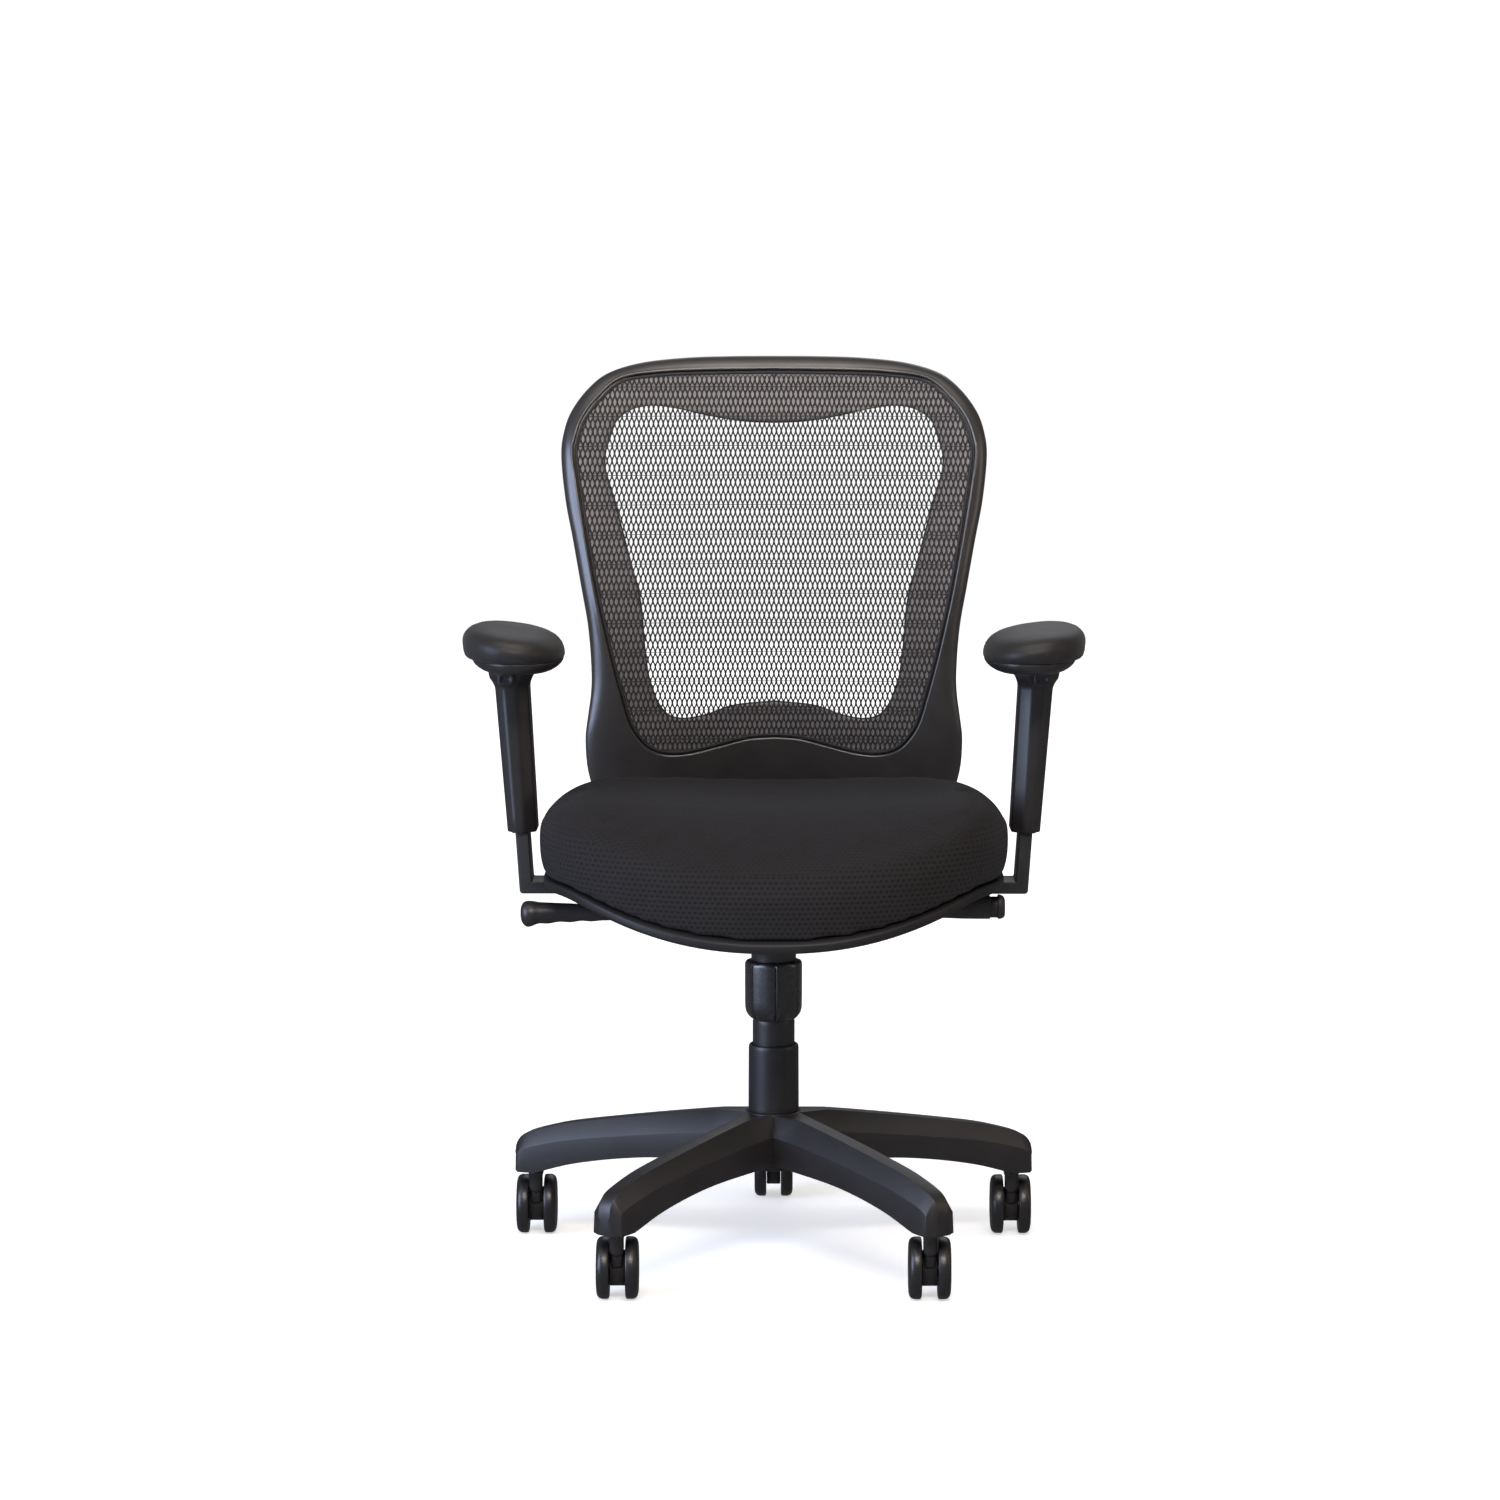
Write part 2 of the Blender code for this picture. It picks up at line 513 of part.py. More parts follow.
def pan_level(k, dz):
    def f(t):
        x, y = pan_point(t, k)
        return x, y, pan_low(x, y) + dz
    return f


def rim_lift(k):
    """The pan's rim stands up along the edge."""
    return 0.0


v, f, rows = skin([pan_level(0.42, 0), pan_level(0.58, 0), pan_level(0.74, 0), pan_level(0.86, 0), pan_level(0.965, 0), pan_level(0.995, 0.0015), pan_level(1.0, 0.006),
                   pan_level(0.995, 0.0100), pan_level(0.965, PAN_T), pan_level(0.86, PAN_T), pan_level(0.74, PAN_T), pan_level(0.58, PAN_T), pan_level(0.42, PAN_T)])
fan(v, f, rows[0], (0, SEAT_MID_Y, PAN_Z))
fan(v, f, rows[-1], (0, SEAT_MID_Y, PAN_Z + PAN_T))
build("seat_pan", (v, f), "nylon", at=(0.0, *SEAT_PIVOT), parent=seat_axis)


def cushion_level(k, h, top_k=None):
    """k: share of the plan outline. h: 0 at the pan, 1 at the crown."""
    def g(t):
        x, y = pan_point(t, k)
        low = pan_low(*pan_point(t, min(k, 0.985))) + PAN_T + 0.0004
        xt, yt = pan_point(t, min(k, 0.90))
        high = cushion_top(xt, yt)
        return x, y, low + (high - low) * h
    return g


BULGE = CUSHION_BULGE / SEAT_HALF
v, f, rows = skin([pan_level(0.42, PAN_T + 0.0004), pan_level(0.58, PAN_T + 0.0004), pan_level(0.74, PAN_T + 0.0004), pan_level(0.86, PAN_T + 0.0004), pan_level(0.965, PAN_T + 0.0004),
                   cushion_level(1.000, 0.10), cushion_level(BULGE - 0.002, 0.28), cushion_level(BULGE, 0.42), cushion_level(BULGE - 0.004, 0.62),
                   cushion_level(0.990, 0.81), cushion_level(0.935, 0.945), cushion_level(0.80, 1.0), cushion_level(0.62, 1.0), cushion_level(0.38, 1.0)],
                  other=True)
fan(v, f, rows[0], (0, SEAT_MID_Y, PAN_Z + PAN_T + 0.0004))
fan(v, f, rows[-1], (0, SEAT_MID_Y, cushion_top(0, SEAT_MID_Y)))
build("seat_cushion", (v, f), "seat_fabric", at=(0.0, *SEAT_PIVOT), parent=seat_axis, sharp=60)

carrier = build("seat_carrier", box(-0.0860, 0.0860, -0.1010, 0.1150, 0.4040, PAN_Z - GAP), "black_steel", at=(0.0, *SEAT_PIVOT), parent=seat_axis)
boolean(carrier, build("cut_carrier_inside", box(-0.0835, 0.0835, -0.0985, 0.1125, 0.390, PAN_Z - GAP - 0.0030), helper=True), 'DIFFERENCE')
for sx in (-1, 1):
    ear = [(-0.0640, 0.4165), (-0.0600, 0.3690), (-0.0400, 0.3690), (-0.0360, 0.4165)]
    x0, x1 = (0.0645, 0.0675) if sx > 0 else (-0.0675, -0.0645)
    boolean(carrier, build(f"cut_carrier_ear_{'r' if sx > 0 else 'l'}", prism_x(ear, x0, x1), helper=True), 'UNION')
boolean(carrier, build("cut_carrier_pin", rod(0.0044, -0.080, 0.080, 10, SEAT_PIVOT, 'X'), helper=True), 'DIFFERENCE')


# ------------------------------------------------------------------ armrests
def bar_x(z):
    """Outer face of the leaning upright, on the left side."""
    return -(BAR_OUT_X + (z - BAR_OUT_Z) * BAR_LEAN)


BAR_TOP = 0.5750
arm_up = Vector((-math.sin(math.radians(3.9)), 0, math.cos(math.radians(3.9))))


def l_bar():
    z_in = BAR_OUT_Z + 0.0130
    pts = [(bar_x(BAR_OUT_Z) + 0.0020, BAR_OUT_Z), (bar_x(BAR_OUT_Z + 0.002), BAR_OUT_Z + 0.0020), (bar_x(BAR_TOP), BAR_TOP), (bar_x(BAR_TOP) + BAR_T, BAR_TOP),
           (bar_x(z_in) + BAR_T, z_in), (-0.0885, z_in), (-0.0885, BAR_OUT_Z)]
    return loft([[(x, y, z) for x, z in pts] for y in (BAR_Y0, BAR_Y1)])


# sleeve section: chamfered, longer front to back than wide
def sleeve_ring(z, grow=0.0):
    q = (z - SLEEVE_Z0) / (SLEEVE_Z1 - SLEEVE_Z0)
    xo = bar_x(z) - 0.0085 - 0.0022 * q - grow          # outer face
    xi = bar_x(z) + BAR_T + 0.0096 + 0.0025 * q + grow  # inner face
    co, ci, cy = 0.0088 + 0.0012 * q, 0.0128 - 0.0005 * q, 0.0105
    y0, y1 = BAR_Y0 - 0.0075 - grow, BAR_Y1 + 0.0075 + grow
    return [(xo, y0 + cy, z), (xo + co, y0, z), (xi - ci, y0, z), (xi, y0 + cy, z),
            (xi, y1 - cy, z), (xi - ci, y1, z), (xo + co, y1, z), (xo, y1 - cy, z)]


NA = 24


def pad_ring(k, z, tilt=0.0, k_len=None, dx=0.0):
    """Arm pad outline: a long rounded shape, turned slightly inwards at the front; drawn on the left side."""
    out = []
    kl = k_len or k
    for i in range(NA):
        t = 2 * math.pi * i / NA
        c, s = math.cos(t), math.sin(t)
        rad = (abs(c) ** 2.35 + abs(s) ** 2.35) ** (-1 / 2.35)
        lx, ly = PAD_A * k * rad * c, PAD_B * kl * rad * s
        lx *= 1.0 - 0.10 * s                              # narrower at the rear
        x = -PAD_X + lx - 0.030 * ly + dx
        out.append((x, PAD_Y + ly, z - tilt * lx))
    return out


def pad_top(side_geo_tilt=0.13):
    z0 = 0.6622
    lv = [(0.80, 0.0, 0.80), (0.93, 0.0, 0.955), (0.985, 0.0055, 0.990), (1.0, 0.0110, 1.0), (0.970, 0.0180, 0.975), (0.88, 0.0238, 0.915), (0.70, 0.0272, 0.76), (0.42, 0.0286, 0.48)]
    rings = [pad_ring(k, z0 + h, side_geo_tilt * min(1.0, 0.25 + 75 * h) if h > 0.001 else 0.03, kl) for k, h, kl in lv]
    verts, faces = [], []
    rows = []
    for r in rings:
        rows.append(list(range(len(verts), len(verts) + NA)))
        verts += r
    for a, b in zip(rows, rows[1:]):
        for k in range(NA):
            k2 = (k + 1) % NA
            faces.append((a[k], a[k2], b[k2], b[k]))
    fan(verts, faces, rows[0], (-PAD_X, PAD_Y, z0))
    fan(verts, faces, rows[-1], (-PAD_X, PAD_Y, z0 + 0.0290))
    return verts, faces


def pad_plate():
    z0, z1 = 0.6490, 0.6618
    lv = [(0.40, z0, 0.40), (0.66, z0, 0.84), (0.80, z0 + 0.0040, 0.92), (0.895, z1 - 0.0015, 0.945), (0.89, z1, 0.94), (0.40, z1, 0.40)]
    verts, faces = [], []
    rows = []
    for k, z, kl in lv:
        rows.append(list(range(len(verts), len(verts) + NA)))
        verts += pad_ring(k, z, 0.03 if z == z1 else 0.0, kl, 0.0045)
    for a, b in zip(rows, rows[1:]):
        for k in range(NA):
            k2 = (k + 1) % NA
            faces.append((a[k], a[k2], b[k2], b[k]))
    fan(verts, faces, rows[0], (-PAD_X, PAD_Y, z0))
    fan(verts, faces, rows[-1], (-PAD_X, PAD_Y, z1))
    return verts, faces


for side, tag in ((-1, "left"), (1, "right")):
    build(f"arm_bracket_{tag}", flip(l_bar(), side), "black_steel", at=(0.0, *SEAT_PIVOT), parent=seat_axis)
    top = Vector((bar_x(0.60), 0.5 * (BAR_Y0 + BAR_Y1), 0.60))
    if side > 0:
        top.x = -top.x
    arm_axis = pivot(f"arm_height_axis_{tag}", tuple(top))
    rings = [sleeve_ring(SLEEVE_Z0), sleeve_ring(0.6260), sleeve_ring(0.6330, 0.0030), [(x, y, 0.6487) for x, y, z in sleeve_ring(SLEEVE_Z1, 0.0060)]]
    sleeve = build(f"arm_sleeve_{tag}", flip(loft(rings), side), "nylon", at=tuple(top), parent=arm_axis)
    inner = loft([[(bar_x(z) - 0.0004, BAR_Y0 - 0.0005, z), (bar_x(z) + BAR_T + 0.0004, BAR_Y0 - 0.0005, z),
                   (bar_x(z) + BAR_T + 0.0004, BAR_Y1 + 0.0005, z), (bar_x(z) - 0.0004, BAR_Y1 + 0.0005, z)] for z in (0.4400, 0.6180)])
    boolean(sleeve, build(f"cut_sleeve_bore_{tag}", flip(inner, side), helper=True), 'DIFFERENCE')
    pocket = box(-0.3010, -0.2820, BAR_Y0 - 0.0300, BAR_Y0 - 0.0020, 0.6275, 0.6445)
    boolean(sleeve, build(f"cut_button_pocket_{tag}", flip(pocket, side), helper=True), 'DIFFERENCE')
    build(f"arm_button_{tag}", flip(box(-0.3006, -0.2824, BAR_Y0 - 0.0158, BAR_Y0 - 0.0062, 0.6280, 0.6440), side), "nylon_dark",
          at=tuple(top), parent=arm_axis)
    build(f"arm_pad_plate_{tag}", flip(pad_plate(), side), "nylon", at=tuple(top), parent=arm_axis)
    build(f"arm_pad_{tag}", flip(pad_top(), side), "pu_pad", at=tuple(top), parent=arm_axis, sharp=60)

# ------------------------------------------------------------------ back
BACK_Y = [(0.450, 0.2400), (0.500, 0.2350), (0.560, 0.2285), (0.620, 0.2260), (0.680, 0.2285), (0.750, 0.2390), (0.820, 0.2550), (0.900, 0.2765), (0.980, 0.3000)]
WRAP = 0.028


def back_y(x, z):
    """Front surface of the back at (x, z)."""
    return along(BACK_SMOOTH, z) - WRAP * (abs(x) / 0.24) ** 2.2


BACK_SMOOTH = [(p[0], p[1]) for p in curve_through(BACK_Y, 6)]

OUTER = [(0, 0.4480), (0.0900, 0.4495), (0.1600, 0.4550), (0.1980, 0.4740), (0.2115, 0.5060), (0.2147, 0.5450), (0.2120, 0.5700), (0.2080, 0.6000),
         (0.2076, 0.6280), (0.2110, 0.6740), (0.2190, 0.7200), (0.2285, 0.7730), (0.2370, 0.8170), (0.2422, 0.8660), (0.2395, 0.8930), (0.2310, 0.9170),
         (0.2125, 0.9420), (0.1890, 0.9600), (0.1500, 0.9715), (0.1000, 0.9768), (0.0500, 0.9784), (0, 0.9787)]
MESH = [(0, 0.5487), (0.0300, 0.5464), (0.0600, 0.5387), (0.0950, 0.5300), (0.1210, 0.5285), (0.1400, 0.5345), (0.1520, 0.5455), (0.1637, 0.5651),
        (0.1745, 0.6020), (0.1837, 0.6375), (0.1930, 0.6780), (0.2010, 0.7156), (0.2118, 0.7750), (0.2213, 0.8334), (0.2262, 0.8680), (0.2250, 0.8840),
        (0.2170, 0.9080), (0.2016, 0.9290), (0.1746, 0.9520), (0.1303, 0.9592), (0.0800, 0.9614), (0, 0.9624)]
WINDOW = [(0, 0.5890), (0.0457, 0.5843), (0.0775, 0.5735), (0.1060, 0.5696), (0.1255, 0.5790), (0.1400, 0.6110), (0.1462, 0.6525), (0.1510, 0.7035),
          (0.1650, 0.7580), (0.1795, 0.8115), (0.1905, 0.8480), (0.1908, 0.8720), (0.1820, 0.9010), (0.1650, 0.9170), (0.1400, 0.9226), (0.1100, 0.9190),
          (0.0750, 0.9110), (0.0350, 0.9045), (0, 0.9029)]
MID_Z = 0.7450


def loop(points, n):
    """n points of a closed outline, mirrored about x = 0, at even directions about its middle."""
    half = curve_through(points, 10)
    full = half + [(-x, z) for x, z in reversed(half[1:-1])]
    polar = sorted((math.atan2(z - MID_Z, x) % (2 * math.pi), math.hypot(x, z - MID_Z)) for x, z in full)
    polar = [(polar[-1][0] - 2 * math.pi, polar[-1][1])] + polar + [(polar[0][0] + 2 * math.pi, polar[0][1])]
    out = []
    for k in range(n):
        t = 2 * math.pi * (k + 0.5) / n
        r = along(polar, t)
        out.append((r * math.cos(t), MID_Z + r * math.sin(t)))
    return out


NB = 50
outer, knit, window = loop(OUTER, NB), loop(MESH, NB), loop(WINDOW, NB)


def offset(points, d):
    """Move an outline outwards by d."""
    out = []
    n = len(points)
    for i, (x, z) in enumerate(points):
        (x0, z0), (x1, z1) = points[i - 1], points[(i + 1) % n]
        tx, tz = x1 - x0, z1 - z0
        m = math.hypot(tx, tz)
        out.append((x + d * tz / m, z - d * tx / m))
    return out


def on_back(points, dy):
    return [(x, back_y(x, z) + dy, z) for x, z in points]


def between(a, b, q):
    return [(x0 + (x1 - x0) * q, z0 + (z1 - z0) * q) for (x0, z0), (x1, z1) in zip(a, b)]


def frame_geo():
    rings = [on_back(between(window, knit, 0.55), 0.0046), on_back(offset(knit, 0.0006), 0.0046), on_back(offset(knit, 0.0008), -0.0012), on_back(between(offset(knit, 0.0008), outer, 0.25), 0.0006),
             on_back(between(knit, outer, 0.92), 0.0110), on_back(outer, 0.0150), on_back(between(knit, outer, 0.97), 0.0205), on_back(between(knit, outer, 0.5), 0.0215),
             on_back(between(window, knit, 0.2), 0.0135), on_back(window, 0.0110), on_back(window, 0.0055), on_back(between(window, knit, 0.08), 0.0046)]
    n = NB
    verts = [p for r in rings for p in r]
    faces = []
    for i in range(len(rings)):
        j = (i + 1) % len(rings)
        for k in range(n):
            k2 = (k + 1) % n
            faces.append((i * n + k, i * n + k2, j * n + k2, j * n + k))
    return verts, faces


back_geo = frame_geo()
build("back_frame", back_geo, "nylon", at=(0.0, *BACK_PIVOT), parent=back_axis, sharp=25)


def knit_geo():
    shares = (1.0, 0.82, 0.62, 0.42, 0.22)
    edge = offset(knit, -0.0002)
    verts, faces, rows = [], [], []
    order = [(s, 0.0006) for s in reversed(shares)] + [(s, 0.0028) for s in shares]
    for s, dy in order:
        ring = [(x * s, MID_Z + (z - MID_Z) * s) for x, z in edge]
        rows.append(list(range(len(verts), len(verts) + NB)))
        verts += on_back(ring, dy)
    for a, b in zip(rows, rows[1:]):
        for k in range(NB):
            k2 = (k + 1) % NB
            faces.append((a[k], a[k2], b[k2], b[k]))
    fan(verts, faces, rows[0], (0, back_y(0, MID_Z) + 0.0006, MID_Z))
    fan(verts, faces, rows[-1], (0, back_y(0, MID_Z) + 0.0028, MID_Z))
    return verts, faces


build("mesh_panel", knit_geo(), "mesh_knit", at=(0.0, *BACK_PIVOT), parent=back_axis, sharp=60)

# the bar that carries the back: under the seat, then up behind the lower panel
UP = [(0.0500, 0.3760), (0.0900, 0.3755), (0.1500, 0.3750), (0.2100, 0.3765), (0.2500, 0.3900), (0.2690, 0.4250), (0.2675, 0.4700), (0.2598, 0.5200), (0.2495, 0.5720)]


def upright_geo():
    path = curve_through(UP, 2)
    rings = []
    for i, (y, z) in enumerate(path):
        (ya, za), (yb, zb) = path[max(i - 1, 0)], path[min(i + 1, len(path) - 1)]
        m = math.hypot(yb - ya, zb - za)
        ty, tz = (yb - ya) / m, (zb - za) / m
        ny, nz = -tz, ty
        q = i / (len(path) - 1)
        hw = 0.0300 + 0.0080 * max(0.0, (q - 0.6) / 0.4)
        th = 0.0065
        sec = [(-hw, -th * 0.6), (-hw, th * 0.6), (-hw + 0.004, th), (hw - 0.004, th), (hw, th * 0.6), (hw, -th * 0.6), (hw - 0.004, -th), (-hw + 0.004, -th)]
        rings.append([(w, y + ny * d, z + nz * d) for w, d in sec])
    return loft(rings)


up = build("back_upright", upright_geo(), "nylon", at=(0.0, *BACK_PIVOT), parent=back_axis)
# inside the housing the bar ends in a knuckle on the pin, between the side walls
notch = box(-0.0590, 0.0590, 0.0320, 0.0590, 0.3655, 0.3865)
boolean(up, build("cut_up_knuckle", box(-0.0560, 0.0560, 0.0375, 0.0560, 0.3690, 0.3830), helper=True), 'UNION')
boolean(up, build("cut_up_pin", rod(0.0044, -0.080, 0.080, 10, BACK_PIVOT, 'X'), helper=True), 'DIFFERENCE')
# opening in the housing's rear wall and floor, which the bar swings down through
boolean(house, build("cut_house_rear", box(-0.0325, 0.0325, 0.0600, 0.1150, 0.3500, 0.4200), helper=True), 'DIFFERENCE')

# ------------------------------------------------------------------ casters
NW = 22
for k, a in enumerate(ARM_ANGLES):
    cx, cy = STEM_CIRCLE * math.sin(a), -STEM_CIRCLE * math.cos(a)
    tag = k + 1
    ay = cy + TRAIL
    axis = pivot(f"caster_{tag}_axis", (cx, cy, 0.0700))
    build(f"caster_{tag}_stem", lathe([(0, 0.0600), (0.0050, 0.0600), (0.0055, 0.0606), (0.0055, 0.0985), (0.0042, 0.1005), (0.0042, 0.1015), (0, 0.1015)], 12, (cx, cy)),
          "bright_steel", at=(cx, cy, 0.0700), parent=axis)
    # housing: round hub between the wheels, neck round the stem
    hub = build(f"caster_{tag}_housing", rod(CASTER_HUB_R, -0.0082, 0.0082, 18, (ay, WHEEL_R), 'X', at=cx), "nylon", at=(cx, cy, 0.0700), parent=axis)
    neck = rod(NECK_R, 0.0520, 0.0746, 12, (cx, cy))
    web = box(cx - 0.0068, cx + 0.0068, cy - 0.0030, cy + 0.0230, 0.0400, 0.0655)
    boolean(hub, build(f"cut_caster_{tag}_web", web, helper=True), 'UNION')
    boolean(hub, build(f"cut_caster_{tag}_neck", neck, helper=True), 'UNION')
    boolean(hub, build(f"cut_caster_{tag}_stem", rod(0.0058, 0.0597, 0.0900, 12, (cx, cy)), helper=True), 'DIFFERENCE')
    boolean(hub, build(f"cut_caster_{tag}_axle", rod(0.0034, -0.020, 0.020, 10, (ay, WHEEL_R), 'X', at=cx), helper=True), 'DIFFERENCE')
    build(f"caster_{tag}_axle", rod(0.0030, -0.0200, 0.0200, 10, (ay, WHEEL_R), 'X', at=cx), "bright_steel", at=(cx, ay, WHEEL_R))
    for sx, nm in ((-1, "left"), (1, "right")):
        w0, w1, r = WHEEL_IN, WHEEL_IN + WHEEL_T, WHEEL_R
        # blind bore for the axle, round tread edge on the outer side
        prof = [(0, w1 - 0.0012), (0.0034, w1 - 0.0012), (0.0034, w0), (r - 0.0020, w0), (r, w0 + 0.0022), (r, w1 - 0.0045), (r - 0.0018, w1 - 0.0012), (r - 0.0055, w1), (0, w1)]
        geo = lathe(prof, NW, (ay, WHEEL_R), 'X')
        geo = ([(cx + sx * x, y, z) for x, y, z in geo[0]], geo[1])
        build(f"caster_{tag}_wheel_{nm}", geo, "tyre", at=(cx, ay, WHEEL_R), sharp=30)
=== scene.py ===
"""Looks for the swivel office chair: fine surfaces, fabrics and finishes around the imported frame.

Shapes are given in the chair frame (origin on the swivel axis at floor level, front at -Y, metres)
and moved by Y_SHIFT into the row frame, in which the frame's bodies stand.
"""
import bpy
import bmesh
import math
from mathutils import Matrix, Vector, noise


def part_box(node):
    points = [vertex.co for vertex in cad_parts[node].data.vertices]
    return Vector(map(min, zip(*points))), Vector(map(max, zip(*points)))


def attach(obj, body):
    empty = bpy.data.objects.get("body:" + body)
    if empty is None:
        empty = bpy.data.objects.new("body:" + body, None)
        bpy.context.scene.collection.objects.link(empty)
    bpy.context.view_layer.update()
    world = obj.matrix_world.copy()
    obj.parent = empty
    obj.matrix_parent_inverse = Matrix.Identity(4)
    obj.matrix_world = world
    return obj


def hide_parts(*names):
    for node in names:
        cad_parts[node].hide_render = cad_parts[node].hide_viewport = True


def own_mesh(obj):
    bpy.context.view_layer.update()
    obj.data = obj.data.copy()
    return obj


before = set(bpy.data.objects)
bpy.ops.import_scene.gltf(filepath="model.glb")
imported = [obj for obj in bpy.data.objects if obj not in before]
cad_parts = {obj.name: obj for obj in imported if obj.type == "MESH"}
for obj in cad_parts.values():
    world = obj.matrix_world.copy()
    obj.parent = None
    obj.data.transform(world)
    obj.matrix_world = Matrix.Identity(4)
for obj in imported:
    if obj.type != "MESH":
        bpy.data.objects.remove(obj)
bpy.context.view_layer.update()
sc = bpy.context.scene
Y_SHIFT = -0.0325

# ====================================================================== camera
cam_data = bpy.data.cameras.new("camera")
cam_data.sensor_width = 36.0
cam_data.lens = 105.007
cam_data.clip_start, cam_data.clip_end = 0.05, 60.0
cam = bpy.data.objects.new("camera", cam_data)
sc.collection.objects.link(cam)
cam.location = (0.0, -4.7628, 1.1015)
cam.rotation_euler = (math.pi / 2 - 0.114194, 0.0, math.atan(24.0 / 4375.28))
sc.camera = cam
sc.view_settings.view_transform = 'Standard'
sc.view_settings.look = 'None'

# ====================================================================== lights and stage


def area_light(name, at, aim, size, size_y, power, colour):
    d = bpy.data.lights.new(name, 'AREA')
    d.shape = 'RECTANGLE'
    d.size, d.size_y = size, size_y
    d.energy = power
    d.color = colour
    o = bpy.data.objects.new(name, d)
    sc.collection.objects.link(o)
    o.location = at
    o.rotation_euler = (Vector(aim) - Vector(at)).to_track_quat('-Z', 'Y').to_euler()
    return o


area_light("panel_left", (-2.60, -1.50, 1.15), (0.0, 0.0, 0.55), 2.0, 2.2, 118.0, (0.60, 0.71, 1.0))
area_light("panel_top", (0.0, -0.25, 2.55), (0.0, 0.0, 0.5), 0.95, 0.75, 17.0, (1.0, 0.90, 0.80))
area_light("panel_front_high", (0.15, -3.1, 2.75), (0.0, 0.2, 0.8), 2.0, 0.55, 98.0, (1.0, 0.90, 0.83))
area_light("panel_right", (2.9, -0.7, 1.4), (0.0, 0.0, 0.5), 1.0, 2.0, 10.0, (1.0, 0.86, 0.74))
area_light("panel_rear", (0.6, 3.2, 2.4), (0.0, 0.0, 0.5), 2.2, 1.6, 12.0, (0.95, 0.97, 1.0))
sun_data = bpy.data.lights.new("sky_panel", 'SUN')
sun_data.energy = 0.80
sun_data.angle = math.radians(62)
sun_data.color = (1.0, 0.955, 0.92)
sun = bpy.data.objects.new("sky_panel", sun_data)
sc.collection.objects.link(sun)
sun.rotation_euler = (math.radians(17), 0.0, 0.0)

world = bpy.data.worlds.new("studio")
sc.world = world
world.use_nodes = True
world.node_tree.nodes["Background"].inputs["Color"].default_value = (0.93, 0.95, 1.0, 1)
world.node_tree.nodes["Background"].inputs["Strength"].default_value = 0.12


def stage_material(name, glow, albedo):
    m = bpy.data.materials.new(name)
    m.use_nodes = True
    b = m.node_tree.nodes["Principled BSDF"]
    b.inputs["Base Color"].default_value = (albedo, albedo, albedo * 1.005, 1)
    b.inputs["Roughness"].default_value = 0.9
    b.inputs["Specular IOR Level"].default_value = 0.1
    b.inputs["Emission Color"].default_value = (1, 1, 1, 1)
    b.inputs["Emission Strength"].default_value = glow
    return m


def stage_mesh(name, profile, mat, n=96):
    bm = bmesh.new()
    rows = []
    for r, z in profile:
        if r == 0:
            rows.append([bm.verts.new((0, 0, z))])
        else:
            rows.append([bm.verts.new((r * math.cos(2 * math.pi * k / n), r * math.sin(2 * math.pi * k / n), z)) for k in range(n)])
    for a, b in zip(rows, rows[1:]):
        for k in range(n):
            k2 = (k + 1) % n
            if len(a) == 1:
                bm.faces.new((a[0], b[k], b[k2]))
            else:
                bm.faces.new((a[k], b[k], b[k2], a[k2]))
    me = bpy.data.meshes.new(name)
    bm.to_mesh(me)
    bm.free()
    me.shade_smooth()
    me.materials.append(mat)
    o = bpy.data.objects.new(name, me)
    sc.collection.objects.link(o)
    return o


paper = stage_material("floor_paper", 0.55, 0.80)
t = paper.node_tree
far = t.nodes.new("ShaderNodeVectorMath")
far.operation = 'LENGTH'
place = t.nodes.new("ShaderNodeTexCoord")
t.links.new(place.outputs["Object"], far.inputs[0])
rise = t.nodes.new("ShaderNodeMapRange")
rise.inputs["From Min"].default_value, rise.inputs["From Max"].default_value = 0.9, 4.0
rise.inputs["To Min"].default_value, rise.inputs["To Max"].default_value = 0.55, 0.98
t.links.new(far.outputs["Value"], rise.inputs["Value"])
t.links.new(rise.outputs["Result"], t.nodes["Principled BSDF"].inputs["Emission Strength"])
floor = stage_mesh("studio_floor", [(0, 0), (1.5, 0), (4.0, 0), (7.5, 0)], paper)
floor.visible_glossy = False
wall = stage_mesh("studio_wall", [(7.5, 0)] + [(7.5 + 2.0 * math.sin(t * math.pi / 16), 2.0 - 2.0 * math.cos(t * math.pi / 16)) for t in range(1, 9)] + [(9.5, 7.0)],
                  stage_material("wall_paper", 1.02, 0.0))
wall.visible_diffuse = False
wall.visible_glossy = False
wall.visible_shadow = False

# ====================================================================== materials


